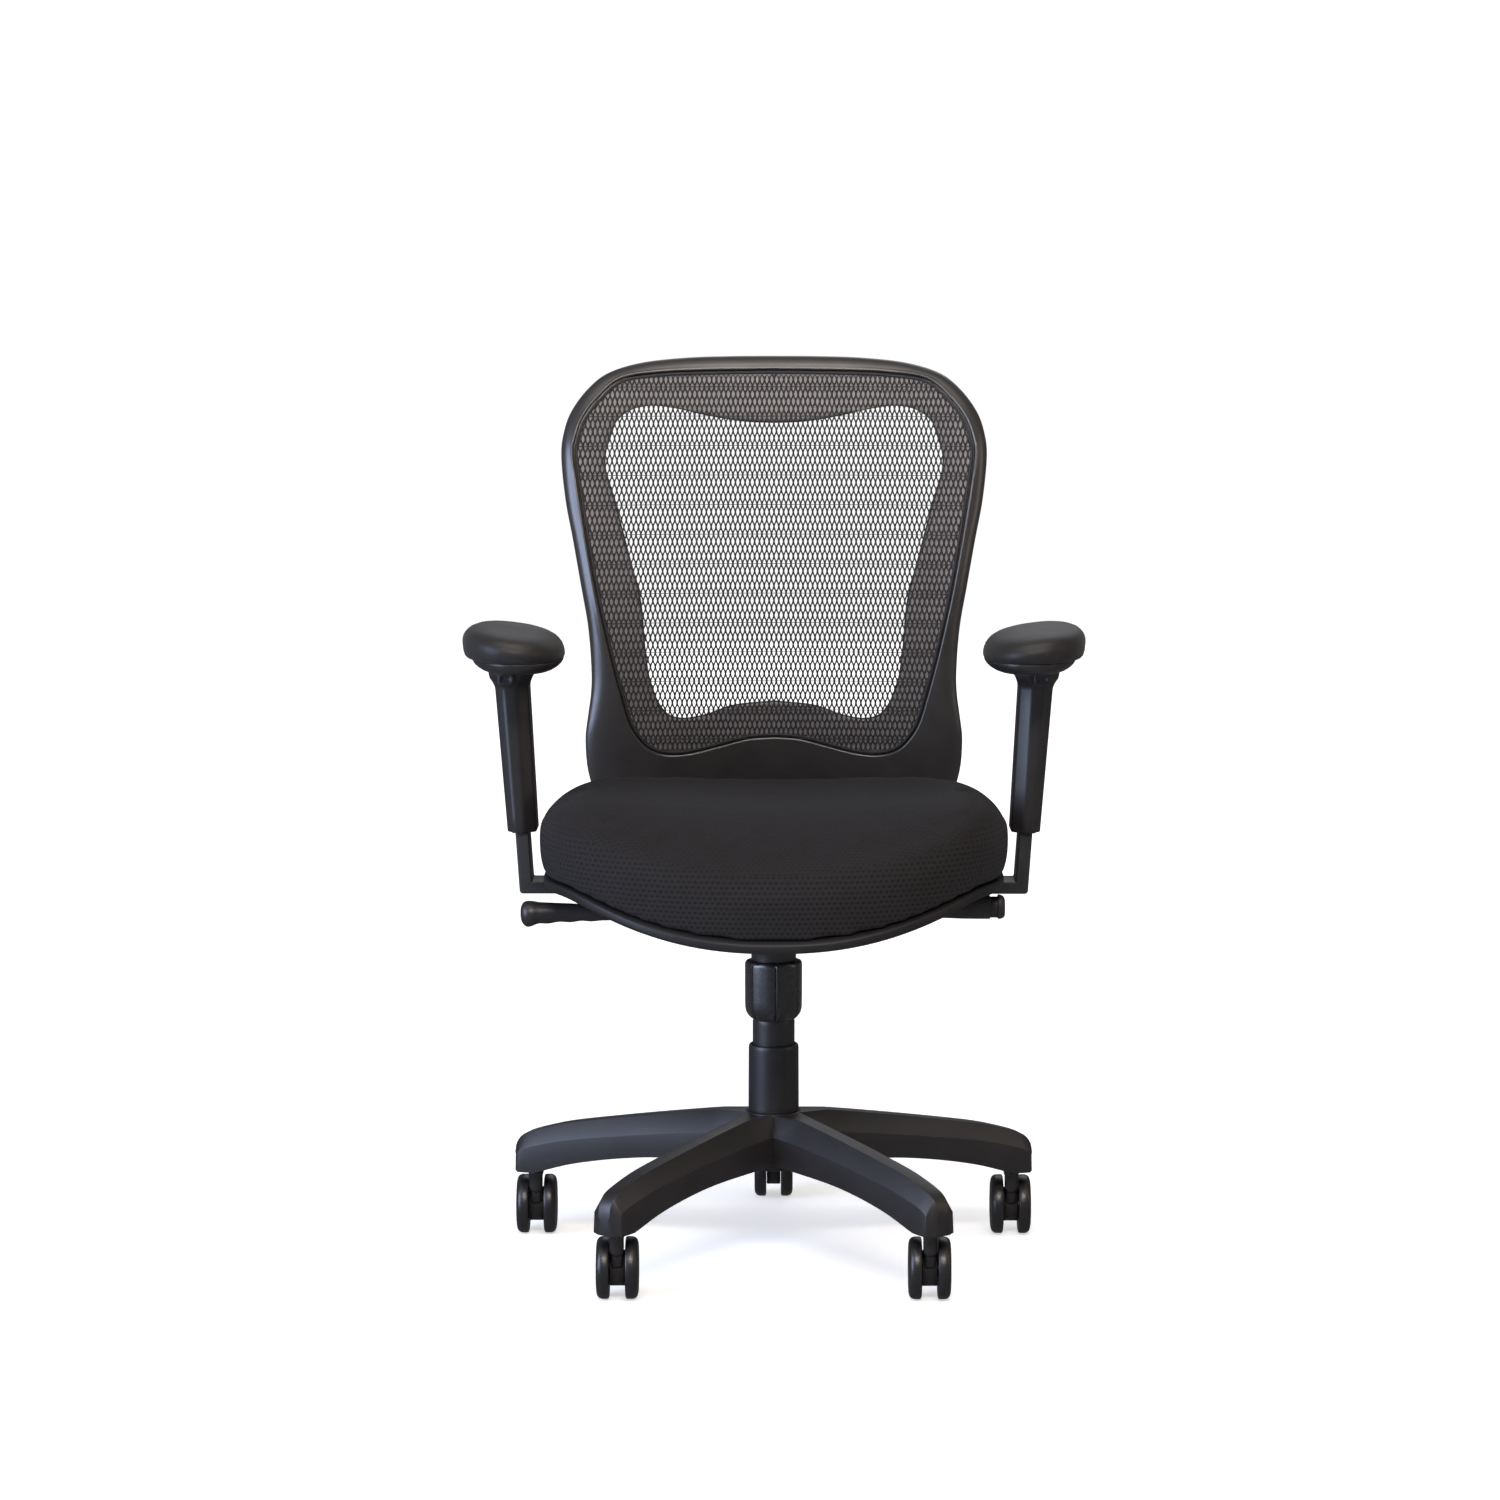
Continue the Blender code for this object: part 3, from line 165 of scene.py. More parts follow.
class Nodes:
    """A material under construction: short calls for the nodes it uses."""

    def __init__(self, name):
        self.mat = bpy.data.materials.new(name)
        self.mat.use_nodes = True
        self.t = self.mat.node_tree
        self.bsdf = self.t.nodes["Principled BSDF"]
        self.coord = self.t.nodes.new("ShaderNodeTexCoord")

    def add(self, kind, **props):
        n = self.t.nodes.new(kind)
        for k, v in props.items():
            setattr(n, k, v)
        return n

    def link(self, a, b):
        self.t.links.new(a, b)

    def value(self, x, socket):
        if hasattr(x, "is_output"):
            self.link(x, socket)
        else:
            socket.default_value = x

    def math(self, op, a, b=0.0, c=None, clamp=False):
        n = self.add("ShaderNodeMath", operation=op, use_clamp=clamp)
        self.value(a, n.inputs[0])
        self.value(b, n.inputs[1])
        if c is not None:
            self.value(c, n.inputs[2])
        return n.outputs[0]

    def noise(self, scale, detail=3.0, rough=0.5, vector=None):
        n = self.add("ShaderNodeTexNoise")
        n.inputs["Scale"].default_value = scale
        n.inputs["Detail"].default_value = detail
        n.inputs["Roughness"].default_value = rough
        self.link(vector or self.coord.outputs["Object"], n.inputs["Vector"])
        return n.outputs["Fac"]

    def cells(self, scale, feature='F1', vector=None, out="Distance"):
        n = self.add("ShaderNodeTexVoronoi", feature=feature)
        n.inputs["Scale"].default_value = scale
        self.link(vector or self.coord.outputs["Object"], n.inputs["Vector"])
        return n.outputs[out]

    def ramp(self, fac, stops):
        n = self.add("ShaderNodeValToRGB")
        e = n.color_ramp.elements
        while len(e) < len(stops):
            e.new(0.5)
        for el, (p, c) in zip(e, stops):
            el.position = p
            el.color = (*c, 1) if len(c) == 3 else c
        self.link(fac, n.inputs["Fac"])
        return n.outputs["Color"]

    def mix(self, fac, a, b):
        n = self.add("ShaderNodeMix", data_type='RGBA')
        self.value(fac, n.inputs[0])
        for x, s in ((a, n.inputs[6]), (b, n.inputs[7])):
            if hasattr(x, "is_output"):
                self.link(x, s)
            else:
                s.default_value = (*x, 1)
        return n.outputs[2]

    def bump(self, height, strength, distance, under=None):
        n = self.add("ShaderNodeBump")
        n.inputs["Strength"].default_value = strength
        n.inputs["Distance"].default_value = distance
        self.link(height, n.inputs["Height"])
        if under is not None:
            self.link(under, n.inputs["Normal"])
        return n.outputs["Normal"]

    def xyz(self):
        n = self.add("ShaderNodeSeparateXYZ")
        self.link(self.coord.outputs["Object"], n.inputs[0])
        return n.outputs


def plastic(name, low, high, rough, rough_spread=0.07, grain=1100.0, grain_depth=0.00006, wear=0.5, spec=0.5, flow=0.0):
    """Moulded plastic: fine spark-eroded grain, slow waviness, mottled gloss and slightly paler worn edges."""
    m = Nodes(name)
    slow = m.noise(9.0, 2.0)
    fine = m.noise(grain, 2.0, 0.6)
    speck = m.cells(grain * 0.9)
    tone = m.ramp(m.noise(26.0, 4.0, 0.6), [(0.3, low), (0.7, high)])
    geo = m.add("ShaderNodeNewGeometry")
    edge = m.math('MULTIPLY', m.math('SUBTRACT', geo.outputs["Pointiness"], 0.515, clamp=True), 7.0, clamp=True)
    edge = m.math('MULTIPLY', edge, m.math('MULTIPLY', m.noise(60.0, 4.0, 0.7), wear), clamp=True)
    worn = tuple(min(1.0, c * 2.6 + 0.006) for c in high)
    m.link(m.mix(edge, tone, worn), m.bsdf.inputs["Base Color"])
    r = m.math('MULTIPLY_ADD', m.noise(38.0, 4.0, 0.65), rough_spread, rough - rough_spread * 0.5)
    r = m.math('MULTIPLY_ADD', fine, 0.05, m.math('SUBTRACT', r, 0.025))
    m.link(r, m.bsdf.inputs["Roughness"])
    wave = m.bump(slow, 0.20 + flow, 0.0012)
    height = m.math('MULTIPLY_ADD', speck, 0.6, fine)
    m.link(m.bump(height, 0.55, grain_depth, wave), m.bsdf.inputs["Normal"])
    m.bsdf.inputs["Specular IOR Level"].default_value = spec
    return m.mat


def powder_coat(name, low, high, rough):
    """Powder-coated steel: orange-peel skin over a flat ground."""
    m = Nodes(name)
    peel = m.noise(420.0, 3.0, 0.55)
    tone = m.ramp(m.noise(40.0, 3.0, 0.6), [(0.3, low), (0.7, high)])
    geo = m.add("ShaderNodeNewGeometry")
    edge = m.math('MULTIPLY', m.math('SUBTRACT', geo.outputs["Pointiness"], 0.52, clamp=True), 6.0, clamp=True)
    m.link(m.mix(m.math('MULTIPLY', edge, 0.5), tone, (0.07, 0.07, 0.072)), m.bsdf.inputs["Base Color"])
    m.link(m.math('MULTIPLY_ADD', m.noise(90.0, 3.0), 0.10, rough - 0.05), m.bsdf.inputs["Roughness"])
    m.link(m.bump(peel, 0.45, 0.00018), m.bsdf.inputs["Normal"])
    return m.mat


def steel(name, tint, rough, axis=2):
    """Turned or drawn steel: fine lines round or along the piece, smudged gloss."""
    m = Nodes(name)
    stretch = m.add("ShaderNodeMapping")
    s = [60.0, 60.0, 60.0]
    s[axis] = 2600.0
    stretch.inputs["Scale"].default_value = s
    m.link(m.coord.outputs["Object"], stretch.inputs["Vector"])
    lines = m.noise(1.0, 3.0, 0.6, stretch.outputs["Vector"])
    smudge = m.noise(55.0, 4.0, 0.6)
    m.link(m.ramp(smudge, [(0.25, tuple(c * 0.80 for c in tint)), (0.75, tint)]), m.bsdf.inputs["Base Color"])
    m.bsdf.inputs["Metallic"].default_value = 1.0
    m.link(m.math('MULTIPLY_ADD', lines, 0.16, m.math('MULTIPLY_ADD', smudge, 0.08, rough - 0.12)), m.bsdf.inputs["Roughness"])
    m.link(m.bump(lines, 0.25, 0.00005), m.bsdf.inputs["Normal"])
    return m.mat


def skin_foam(name):
    """Self-skinned polyurethane of the arm pads: soft leathery pebble, satin."""
    m = Nodes(name)
    pebble = m.cells(620.0, 'SMOOTH_F1')
    fine = m.noise(1500.0, 2.0)
    tone = m.ramp(m.noise(20.0, 3.0, 0.6), [(0.3, (0.0105, 0.0097, 0.0096)), (0.7, (0.0145, 0.0134, 0.0131))])
    rub = m.noise(11.0, 2.0)
    m.link(tone, m.bsdf.inputs["Base Color"])
    m.link(m.math('MULTIPLY_ADD', rub, 0.14, m.math('MULTIPLY_ADD', fine, 0.06, 0.40)), m.bsdf.inputs["Roughness"])
    under = m.bump(m.noise(14.0, 2.0), 0.12, 0.002)
    m.link(m.bump(m.math('MULTIPLY_ADD', fine, 0.25, pebble), 0.42, 0.00016, under), m.bsdf.inputs["Normal"])
    m.bsdf.inputs["Specular IOR Level"].default_value = 0.26
    m.bsdf.inputs["Sheen Weight"].default_value = 0.05
    m.bsdf.inputs["Sheen Roughness"].default_value = 0.4
    return m.mat


def yarn(name):
    """Spun elastomer yarn of the back knit: strands twisted along the height, faintly shiny."""
    m = Nodes(name)
    x, y, z = m.xyz()
    twist = m.add("ShaderNodeTexWave", wave_type='BANDS', bands_direction='DIAGONAL')
    twist.inputs["Scale"].default_value = 420.0
    twist.inputs["Distortion"].default_value = 1.5
    m.link(m.coord.outputs["Object"], twist.inputs["Vector"])
    fluff = m.noise(2600.0, 2.0, 0.6)
    tone = m.ramp(m.noise(150.0, 3.0, 0.6), [(0.3, (0.0070, 0.0066, 0.0068)), (0.7, (0.0150, 0.0140, 0.0142))])
    m.link(m.mix(m.math('MULTIPLY', twist.outputs["Fac"], 0.35), tone, (0.024, 0.0225, 0.023)), m.bsdf.inputs["Base Color"])
    m.link(m.math('MULTIPLY_ADD', fluff, 0.18, 0.52), m.bsdf.inputs["Roughness"])
    m.link(m.bump(m.math('ADD', twist.outputs["Fac"], fluff), 0.5, 0.00012), m.bsdf.inputs["Normal"])
    m.bsdf.inputs["Specular IOR Level"].default_value = 0.3
    m.bsdf.inputs["Sheen Weight"].default_value = 0.05
    return m.mat


def seat_cloth(name):
    """Spacer knit: a fine rib ground with staggered rows of small holes, drawn on the three coordinate
    planes and chosen by the way the surface faces."""
    m = Nodes(name)
    x, y, z = m.xyz()
    geo = m.add("ShaderNodeNewGeometry")
    nsep = m.add("ShaderNodeSeparateXYZ")
    m.link(geo.outputs["True Normal"], nsep.inputs[0])
    ax, ay, az = (m.math('ABSOLUTE', nsep.outputs[i]) for i in range(3))

    def holes(u, v):
        pu, pv = 0.0060, 0.0052
        row = m.math('FLOOR', m.math('DIVIDE', v, pv))
        odd = m.math('MULTIPLY', m.math('MODULO', m.math('ABSOLUTE', row), 2.0), 0.5)
        fu = m.math('SUBTRACT', m.math('FRACT', m.math('ADD', m.math('DIVIDE', u, pu), odd)), 0.5)
        fv = m.math('SUBTRACT', m.math('FRACT', m.math('DIVIDE', v, pv)), 0.5)
        du = m.math('MULTIPLY', fu, pu / 0.00175)
        dv = m.math('MULTIPLY', fv, pv / 0.00130)
        d = m.math('SQRT', m.math('ADD', m.math('MULTIPLY', du, du), m.math('MULTIPLY', dv, dv)))
        return m.math('SUBTRACT', 1.0, m.math('SMOOTH_MIN', m.math('MULTIPLY', d, 0.75), 1.0, 0.35), clamp=True)

    def loops(u, v):
        a = m.math('SINE', m.math('MULTIPLY', u, 2 * math.pi / 0.00130))
        b = m.math('SINE', m.math('MULTIPLY_ADD', v, 2 * math.pi / 0.00150, m.math('MULTIPLY', a, 0.9)))
        return m.math('MULTIPLY_ADD', b, 0.25, m.math('MULTIPLY', a, 0.25))

    wob = m.math('MULTIPLY_ADD', m.noise(45.0, 2.0), 0.0016, -0.0008)
    xu, yu, zu = (m.math('ADD', c, wob) for c in (x, y, z))
    top_h, top_l = holes(xu, yu), loops(xu, yu)
    front_h, front_l = holes(xu, zu), loops(xu, zu)
    side_h, side_l = holes(yu, zu), loops(yu, zu)
    k = 0.12
    to_front = m.math('MULTIPLY_ADD', m.math('SUBTRACT', ay, az), 1 / k, 0.5, clamp=True)
    both = m.math('MAXIMUM', ay, az)
    to_side = m.math('MULTIPLY_ADD', m.math('SUBTRACT', ax, both), 1 / k, 0.5, clamp=True)

    def pick(t, f, s):
        a = m.math('ADD', m.math('MULTIPLY', f, to_front), m.math('MULTIPLY', t, m.math('SUBTRACT', 1.0, to_front)))
        return m.math('ADD', m.math('MULTIPLY', s, to_side), m.math('MULTIPLY', a, m.math('SUBTRACT', 1.0, to_side)))

    hole, loop_h = pick(top_h, front_h, side_h), pick(top_l, front_l, side_l)
    fade = m.math('MULTIPLY_ADD', m.math('POWER', az, 3.0), -0.55, 1.0, clamp=True)          # the crown is pulled tighter, so its holes close
    hole = m.math('MULTIPLY', hole, fade)
    tone = m.ramp(m.noise(30.0, 4.0, 0.6), [(0.3, (0.0042, 0.0038, 0.0039)), (0.7, (0.0062, 0.0056, 0.0057))])
    # over the knit's own pattern, the raised loops are painted lighter as a painted highlight on their crowns, and the
    # real holes are painted near-black as painted shade inside the openings
    lit = m.mix(m.math('MULTIPLY_ADD', loop_h, 0.45, 0.4, clamp=True), tone, (0.0205, 0.0188, 0.0190))
    m.link(m.mix(m.math('MULTIPLY', hole, 0.93, clamp=True), lit, (0.0004, 0.0004, 0.0004)), m.bsdf.inputs["Base Color"])
    m.link(m.math('MULTIPLY_ADD', m.noise(900.0, 2.0), 0.12, 0.74), m.bsdf.inputs["Roughness"])
    h = m.math('SUBTRACT', m.math('MULTIPLY', loop_h, 0.35), m.math('MULTIPLY', hole, 2.2))
    h = m.math('MULTIPLY_ADD', m.noise(2200.0, 2.0), 0.25, h)
    m.link(m.bump(h, 0.65, 0.00042), m.bsdf.inputs["Normal"])
    m.bsdf.inputs["Specular IOR Level"].default_value = 0.13
    m.bsdf.inputs["Sheen Weight"].default_value = 0.02
    m.bsdf.inputs["Sheen Roughness"].default_value = 0.5
    m.bsdf.inputs["Sheen Tint"].default_value = (0.8, 0.82, 0.9, 1)
    return m.mat


NYLON = plastic("nylon_satin", (0.0108, 0.0098, 0.0100), (0.0145, 0.0131, 0.0134), 0.41)
# back shell: the frame's own warm grey nylon, with its base colour raised lighter and warmer than the base's nylon, in
# part a painted reflection of the warm top light on the rim
NYLON_SHELL_WITH_PAINTED_REFLECTION = plastic("nylon_back_shell_with_painted_reflection", (0.0190, 0.0172, 0.0166), (0.0245, 0.0222, 0.0214), 0.31, grain=1500.0, grain_depth=0.00004, spec=0.72)
# the frame's surface behind the knit: the same nylon painted many times paler, painted light standing in for the light
# it reflects through the net
NYLON_RECESS_PAINTED_LIGHT = plastic("nylon_behind_knit_painted_light", (0.150, 0.140, 0.136), (0.180, 0.168, 0.164), 0.42, grain=1500.0, wear=0.0)
NYLON_PAN = plastic("nylon_seat_shell", (0.0075, 0.0069, 0.0071), (0.0100, 0.0092, 0.0094), 0.50, spec=0.30)
NYLON_DARK = plastic("nylon_matt", (0.0080, 0.0078, 0.0080), (0.0115, 0.0112, 0.0115), 0.50)
NYLON_GLOSS = plastic("nylon_knob", (0.0100, 0.0097, 0.0102), (0.0135, 0.0130, 0.0136), 0.27, grain=1700.0, grain_depth=0.00003, spec=0.9)
TYRE = plastic("caster_wheel_nylon", (0.0095, 0.0090, 0.0090), (0.0130, 0.0122, 0.0122), 0.34, grain=1300.0, wear=0.35)
PAD = skin_foam("arm_pad_skin")
YARN = yarn("back_knit_yarn")
CLOTH = seat_cloth("seat_spacer_knit")
COAT = powder_coat("black_powder_coat", (0.0120, 0.0120, 0.0124), (0.0175, 0.0172, 0.0176), 0.42)
BRIGHT = steel("bright_turned_steel", (0.60, 0.60, 0.61), 0.30)
BRIGHT_X = steel("bright_drawn_pin", (0.60, 0.60, 0.61), 0.30, axis=0)
SPRING = steel("oiled_spring_wire", (0.30, 0.30, 0.32), 0.36)
ACETAL = plastic("natural_acetal", (0.52, 0.51, 0.47), (0.60, 0.59, 0.55), 0.48, wear=0.0)


# ====================================================================== driving dimensions
GAP = 0.0003                 # clearance between touching pieces
# base
ARM_COUNT = 5
STEM_CIRCLE = 0.2800         # radius of the caster stem circle
ARM_TIP = 0.3018             # radius of the arm tips
HUB_RADIUS = 0.0345
HUB_BORE = 0.0189           # taper socket for the gas spring; its steel ring is moulded in
HUB_BOTTOM, HUB_TOP = 0.0985, 0.1595
# casters
WHEEL_R, WHEEL_T = 0.0330, 0.0138
WHEEL_IN = 0.0085            # inner face of each wheel from the caster's middle
TRAIL = 0.0200               # axle behind the stem
CASTER_HUB_R = 0.0190
NECK_R = 0.0075
# column
TUBE_R, CYL_R, ROD_R = 0.0185, 0.0140, 0.0045
# tilt geometry (y, z)
SEAT_PIVOT = (-0.0500, 0.3760)
BACK_PIVOT = (0.0450, 0.3760)
# mechanism housing
HOUSE_X, HOUSE_Y0, HOUSE_Y1 = 0.0620, -0.1160, 0.1050
HOUSE_Z0, HOUSE_Z1, HOUSE_Z1R = 0.3600, 0.3975, 0.3790
KNOB_Y = -0.0875             # tension knob axis
# seat
SEAT_HALF, SEAT_MID_Y = 0.2490, -0.0275
SEAT_FRONT, SEAT_REAR = -0.2625, 0.2025
PAN_Z, PAN_T = 0.4192, 0.0120
FRONT_DROP, DROP_START = 0.0458, -0.1300
CUSHION_BULGE = 0.2548
# arms
BAR_LEAN = math.tan(math.radians(3.9))
BAR_Y0, BAR_Y1 = 0.0180, 0.0720
BAR_OUT_X, BAR_OUT_Z = 0.2786, 0.3980   # outer bottom corner of the L bar
BAR_T = 0.0140
SLEEVE_Z0, SLEEVE_Z1 = 0.4660, 0.6360
PAD_X, PAD_A, PAD_B, PAD_Y = 0.2826, 0.0549, 0.1230, 0.0150


# ====================================================================== shape functions
def joined(*geos):
    verts, faces = [], []
    for v, f in geos:
        k = len(verts)
        verts += list(v)
        faces += [tuple(i + k for i in face) for face in f]
    return verts, faces


def box(x0, x1, y0, y1, z0, z1):
    v = [(x, y, z) for z in (z0, z1) for y in (y0, y1) for x in (x0, x1)]
    f = [(0, 2, 3, 1), (4, 5, 7, 6), (0, 1, 5, 4), (2, 6, 7, 3), (0, 4, 6, 2), (1, 3, 7, 5)]
    return v, f


def lathe(profile, n, centre=(0.0, 0.0), axis='Z', at=0.0, ring=False):
    """Turn (radius, height) points about an axis; ring=True closes the profile on itself."""
    verts, faces, rows = [], [], []
    for r, h in profile:
        if r < 1e-9:
            rows.append([len(verts)])
            verts.append((0.0, 0.0, h))
        else:
            rows.append(list(range(len(verts), len(verts) + n)))
            for k in range(n):
                a = 2 * math.pi * (k + 0.5) / n
                verts.append((r * math.cos(a), r * math.sin(a), h))
    pairs = list(zip(rows, rows[1:]))
    if ring:
        pairs.append((rows[-1], rows[0]))
    for a, b in pairs:
        for k in range(n):
            k2 = (k + 1) % n
            if len(a) == 1 and len(b) == 1:
                continue
            if len(a) == 1:
                faces.append((a[0], b[k], b[k2]))
            elif len(b) == 1:
                faces.append((a[k], b[0], a[k2]))
            else:
                faces.append((a[k], b[k], b[k2], a[k2]))
    out = []
    for x, y, z in verts:
        if axis == 'Z':
            out.append((x + centre[0], y + centre[1], z + at))
        else:                                   # along X: height runs along X, centre is (y, z)
            out.append((z + at, x + centre[0], y + centre[1]))
    return out, faces


def tube(r_in, r_out, z0, z1, n, centre=(0.0, 0.0), axis='Z', at=0.0):
    return lathe([(r_out, z0), (r_out, z1), (r_in, z1), (r_in, z0)], n, centre, axis, at, ring=True)


def rod(r, z0, z1, n, centre=(0.0, 0.0), axis='Z', at=0.0, chamfer=0.0):
    c = chamfer
    pts = [(0, z0), (r - c, z0), (r, z0 + c), (r, z1 - c), (r - c, z1), (0, z1)] if c else \
        [(0, z0), (r, z0), (r, z1), (0, z1)]
    return lathe(pts, n, centre, axis, at)


def loft(rings, closed_ends=True):
    """Skin through equal rings of points; flat caps at both ends."""
    n = len(rings[0])
    verts = [p for ring in rings for p in ring]
    faces = []
    for i in range(len(rings) - 1):
        for k in range(n):
            k2 = (k + 1) % n
            faces.append((i * n + k, i * n + k2, (i + 1) * n + k2, (i + 1) * n + k))
    if closed_ends:
        faces.append(tuple(range(n)))
        faces.append(tuple((len(rings) - 1) * n + k for k in range(n)))
    return verts, faces


def prism_x(outline_yz, x0, x1):
    return loft([[(x, y, z) for y, z in outline_yz] for x in (x0, x1)])


def sweep(path, r, sides):
    """Round bar along a list of points."""
    pts = [Vector(p) for p in path]
    rings = []
    up = Vector((0, 1, 0))
    for i, p in enumerate(pts):
        d = (pts[min(i + 1, len(pts) - 1)] - pts[max(i - 1, 0)]).normalized()
        a = d.cross(up)
        if a.length < 1e-3:
            a = d.cross(Vector((1, 0, 0)))
        a.normalize()
        b = d.cross(a).normalized()
        rings.append([tuple(p + a * (r * math.cos(t)) + b * (r * math.sin(t)))
                      for t in (2 * math.pi * k / sides for k in range(sides))])
    return loft(rings)


def along(points, t):
    """Linear value from (position, value) pairs."""
    if t <= points[0][0]:
        return points[0][1]
    for (a, u), (b, v) in zip(points, points[1:]):
        if t <= b:
            return u + (v - u) * (t - a) / (b - a)
    return points[-1][1]


def curve_through(points, per=8):
    """Smooth open curve through points (centripetal, end points doubled)."""
    p = [points[0]] + list(points) + [points[-1]]
    out = []
    for i in range(1, len(p) - 2):
        for k in range(per):
            t = k / per
            q = []
            for a, b, c, d in zip(p[i - 1], p[i], p[i + 1], p[i + 2]):
                q.append(0.5 * (2 * b + (c - a) * t + (2 * a - 5 * b + 4 * c - d) * t * t
                                + (3 * b - a - 3 * c + d) * t ** 3))
            out.append(tuple(q))
    out.append(tuple(points[-1]))
    return out


def mirrored(side):
    return [(-x, y, z) for x, y, z in side[0]], side[1]


def flip(geo, side):
    """Right-hand copy of a piece drawn on the left (-X)."""
    return geo if side < 0 else mirrored(geo)


ARM_TOP = [(0.012, 0.1640), (0.045, 0.1612), (0.079, 0.1573), (0.135, 0.1496), (0.190, 0.1413),
           (0.235, 0.1338), (0.262, 0.1273), (0.284, 0.1205), (0.2940, 0.1150), (0.3000, 0.1065), (ARM_TIP, 0.0965)]
ARM_BOTTOM = [(0.012, 0.1098), (0.075, 0.1062), (0.115, 0.1045), (0.150, 0.1020), (0.190, 0.0968),
              (0.230, 0.0892), (0.262, 0.0800), (0.275, 0.0762), (ARM_TIP, 0.0755)]
ARM_BASE_W = [(0.012, 0.0285), (0.050, 0.0262), (0.080, 0.0240), (0.150, 0.0215), (0.284, 0.0196), (0.2940, 0.0170), (0.3000, 0.0115), (ARM_TIP, 0.0062)]
ARM_CHAMFER = [(0.012, 0.0240), (0.100, 0.0210), (0.284, 0.0165), (0.2940, 0.0130), (ARM_TIP, 0.0060)]
ARM_RIDGE_W = [(0.012, 0.0100), (0.100, 0.0088), (0.284, 0.0085), (ARM_TIP, 0.0042)]


ARM_ANGLES = [math.radians(36 + 72 * k) for k in range(ARM_COUNT)]

LEVER_Y, LEVER_PIVOT_X, LEVER_Z = -0.0450, -0.0500, 0.3862
GRIP = [(-0.2740, 0.0050, 0.0050, 0.3865), (-0.2725, 0.0095, 0.0100, 0.3862), (-0.2685, 0.0132, 0.0135, 0.3858), (-0.2620, 0.0142, 0.0138, 0.3858),
        (-0.2540, 0.0126, 0.0120, 0.3864), (-0.2440, 0.0116, 0.0112, 0.3866), (-0.2300, 0.0108, 0.0105, 0.3868), (-0.2100, 0.0098, 0.0096, 0.3868),
        (-0.1850, 0.0085, 0.0085, 0.3864), (-0.1650, 0.0078, 0.0078, 0.3862)]


LOCK_Z = 0.3860
lrod = [(0.0450, -0.0300, LOCK_Z), (0.0800, -0.0300, LOCK_Z), (0.1300, -0.0380, 0.3878), (0.1750, LEVER_Y, 0.3895), (0.2260, LEVER_Y, 0.3910)]

def pan_point(t, k=1.0, n_pow=2.3, r_pow=3.4):
    """Seat plan outline at angle t (0 = right, going towards the rear), scaled by k about the middle."""
    c, s = math.cos(t), math.sin(t)
    if s < 0:                                     # front: long round nose
        b, p = SEAT_MID_Y - SEAT_FRONT, n_pow
    else:
        b, p = SEAT_REAR - SEAT_MID_Y, r_pow
    rad = (abs(c / SEAT_HALF) ** p + abs(s / b) ** p) ** (-1.0 / p)
    return k * rad * c, SEAT_MID_Y + k * rad * s


def pan_low(x, y):
    """Height of the pan's underside: flat in the middle, falling at the front, a little at the sides."""
    t = max(0.0, (DROP_START - y) / (DROP_START - SEAT_FRONT))
    q = max(0.0, (abs(x) - 0.200) / 0.050)
    return PAN_Z - FRONT_DROP * t * t - 0.0035 * min(q, 1.0) ** 2


def cushion_top(x, y):
    """Height of the upholstery's crown: dished in the middle, higher towards the rear and the sides, falling to the front."""
    z = 0.5035 + 0.0090 * min(1.0, abs(x) / 0.20) ** 2
    if y > 0.0:
        z += 0.0055 * min(1.0, y / 0.17) ** 2
    if y < -0.060:
        u = (-0.060 - y) / 0.205
        z -= 0.0460 * u ** 2.1
    return z


def fan(verts, faces, row, point):
    verts.append(point)
    m = len(verts) - 1
    n = len(row)
    for k in range(n):
        faces.append((row[k], row[(k + 1) % n], m))


def pan_level(k, dz):
    def f(t):
        x, y = pan_point(t, k)
        return x, y, pan_low(x, y) + dz
    return f


def bar_x(z):
    """Outer face of the leaning upright, on the left side."""
    return -(BAR_OUT_X + (z - BAR_OUT_Z) * BAR_LEAN)


BAR_TOP = 0.5750


def l_bar():
    z_in = BAR_OUT_Z + 0.0130
    pts = [(bar_x(BAR_OUT_Z) + 0.0020, BAR_OUT_Z), (bar_x(BAR_OUT_Z + 0.002), BAR_OUT_Z + 0.0020), (bar_x(BAR_TOP), BAR_TOP), (bar_x(BAR_TOP) + BAR_T, BAR_TOP),
           (bar_x(z_in) + BAR_T, z_in), (-0.0885, z_in), (-0.0885, BAR_OUT_Z)]
    return loft([[(x, y, z) for x, z in pts] for y in (BAR_Y0, BAR_Y1)])


BACK_Y = [(0.450, 0.2400), (0.500, 0.2350), (0.560, 0.2285), (0.620, 0.2260), (0.680, 0.2285), (0.750, 0.2390), (0.820, 0.2550), (0.900, 0.2765), (0.980, 0.3000)]
WRAP = 0.028


def back_y(x, z):
    """Front surface of the back at (x, z)."""
    return along(BACK_SMOOTH, z) - WRAP * (abs(x) / 0.24) ** 2.2


BACK_SMOOTH = [(p[0], p[1]) for p in curve_through(BACK_Y, 6)]

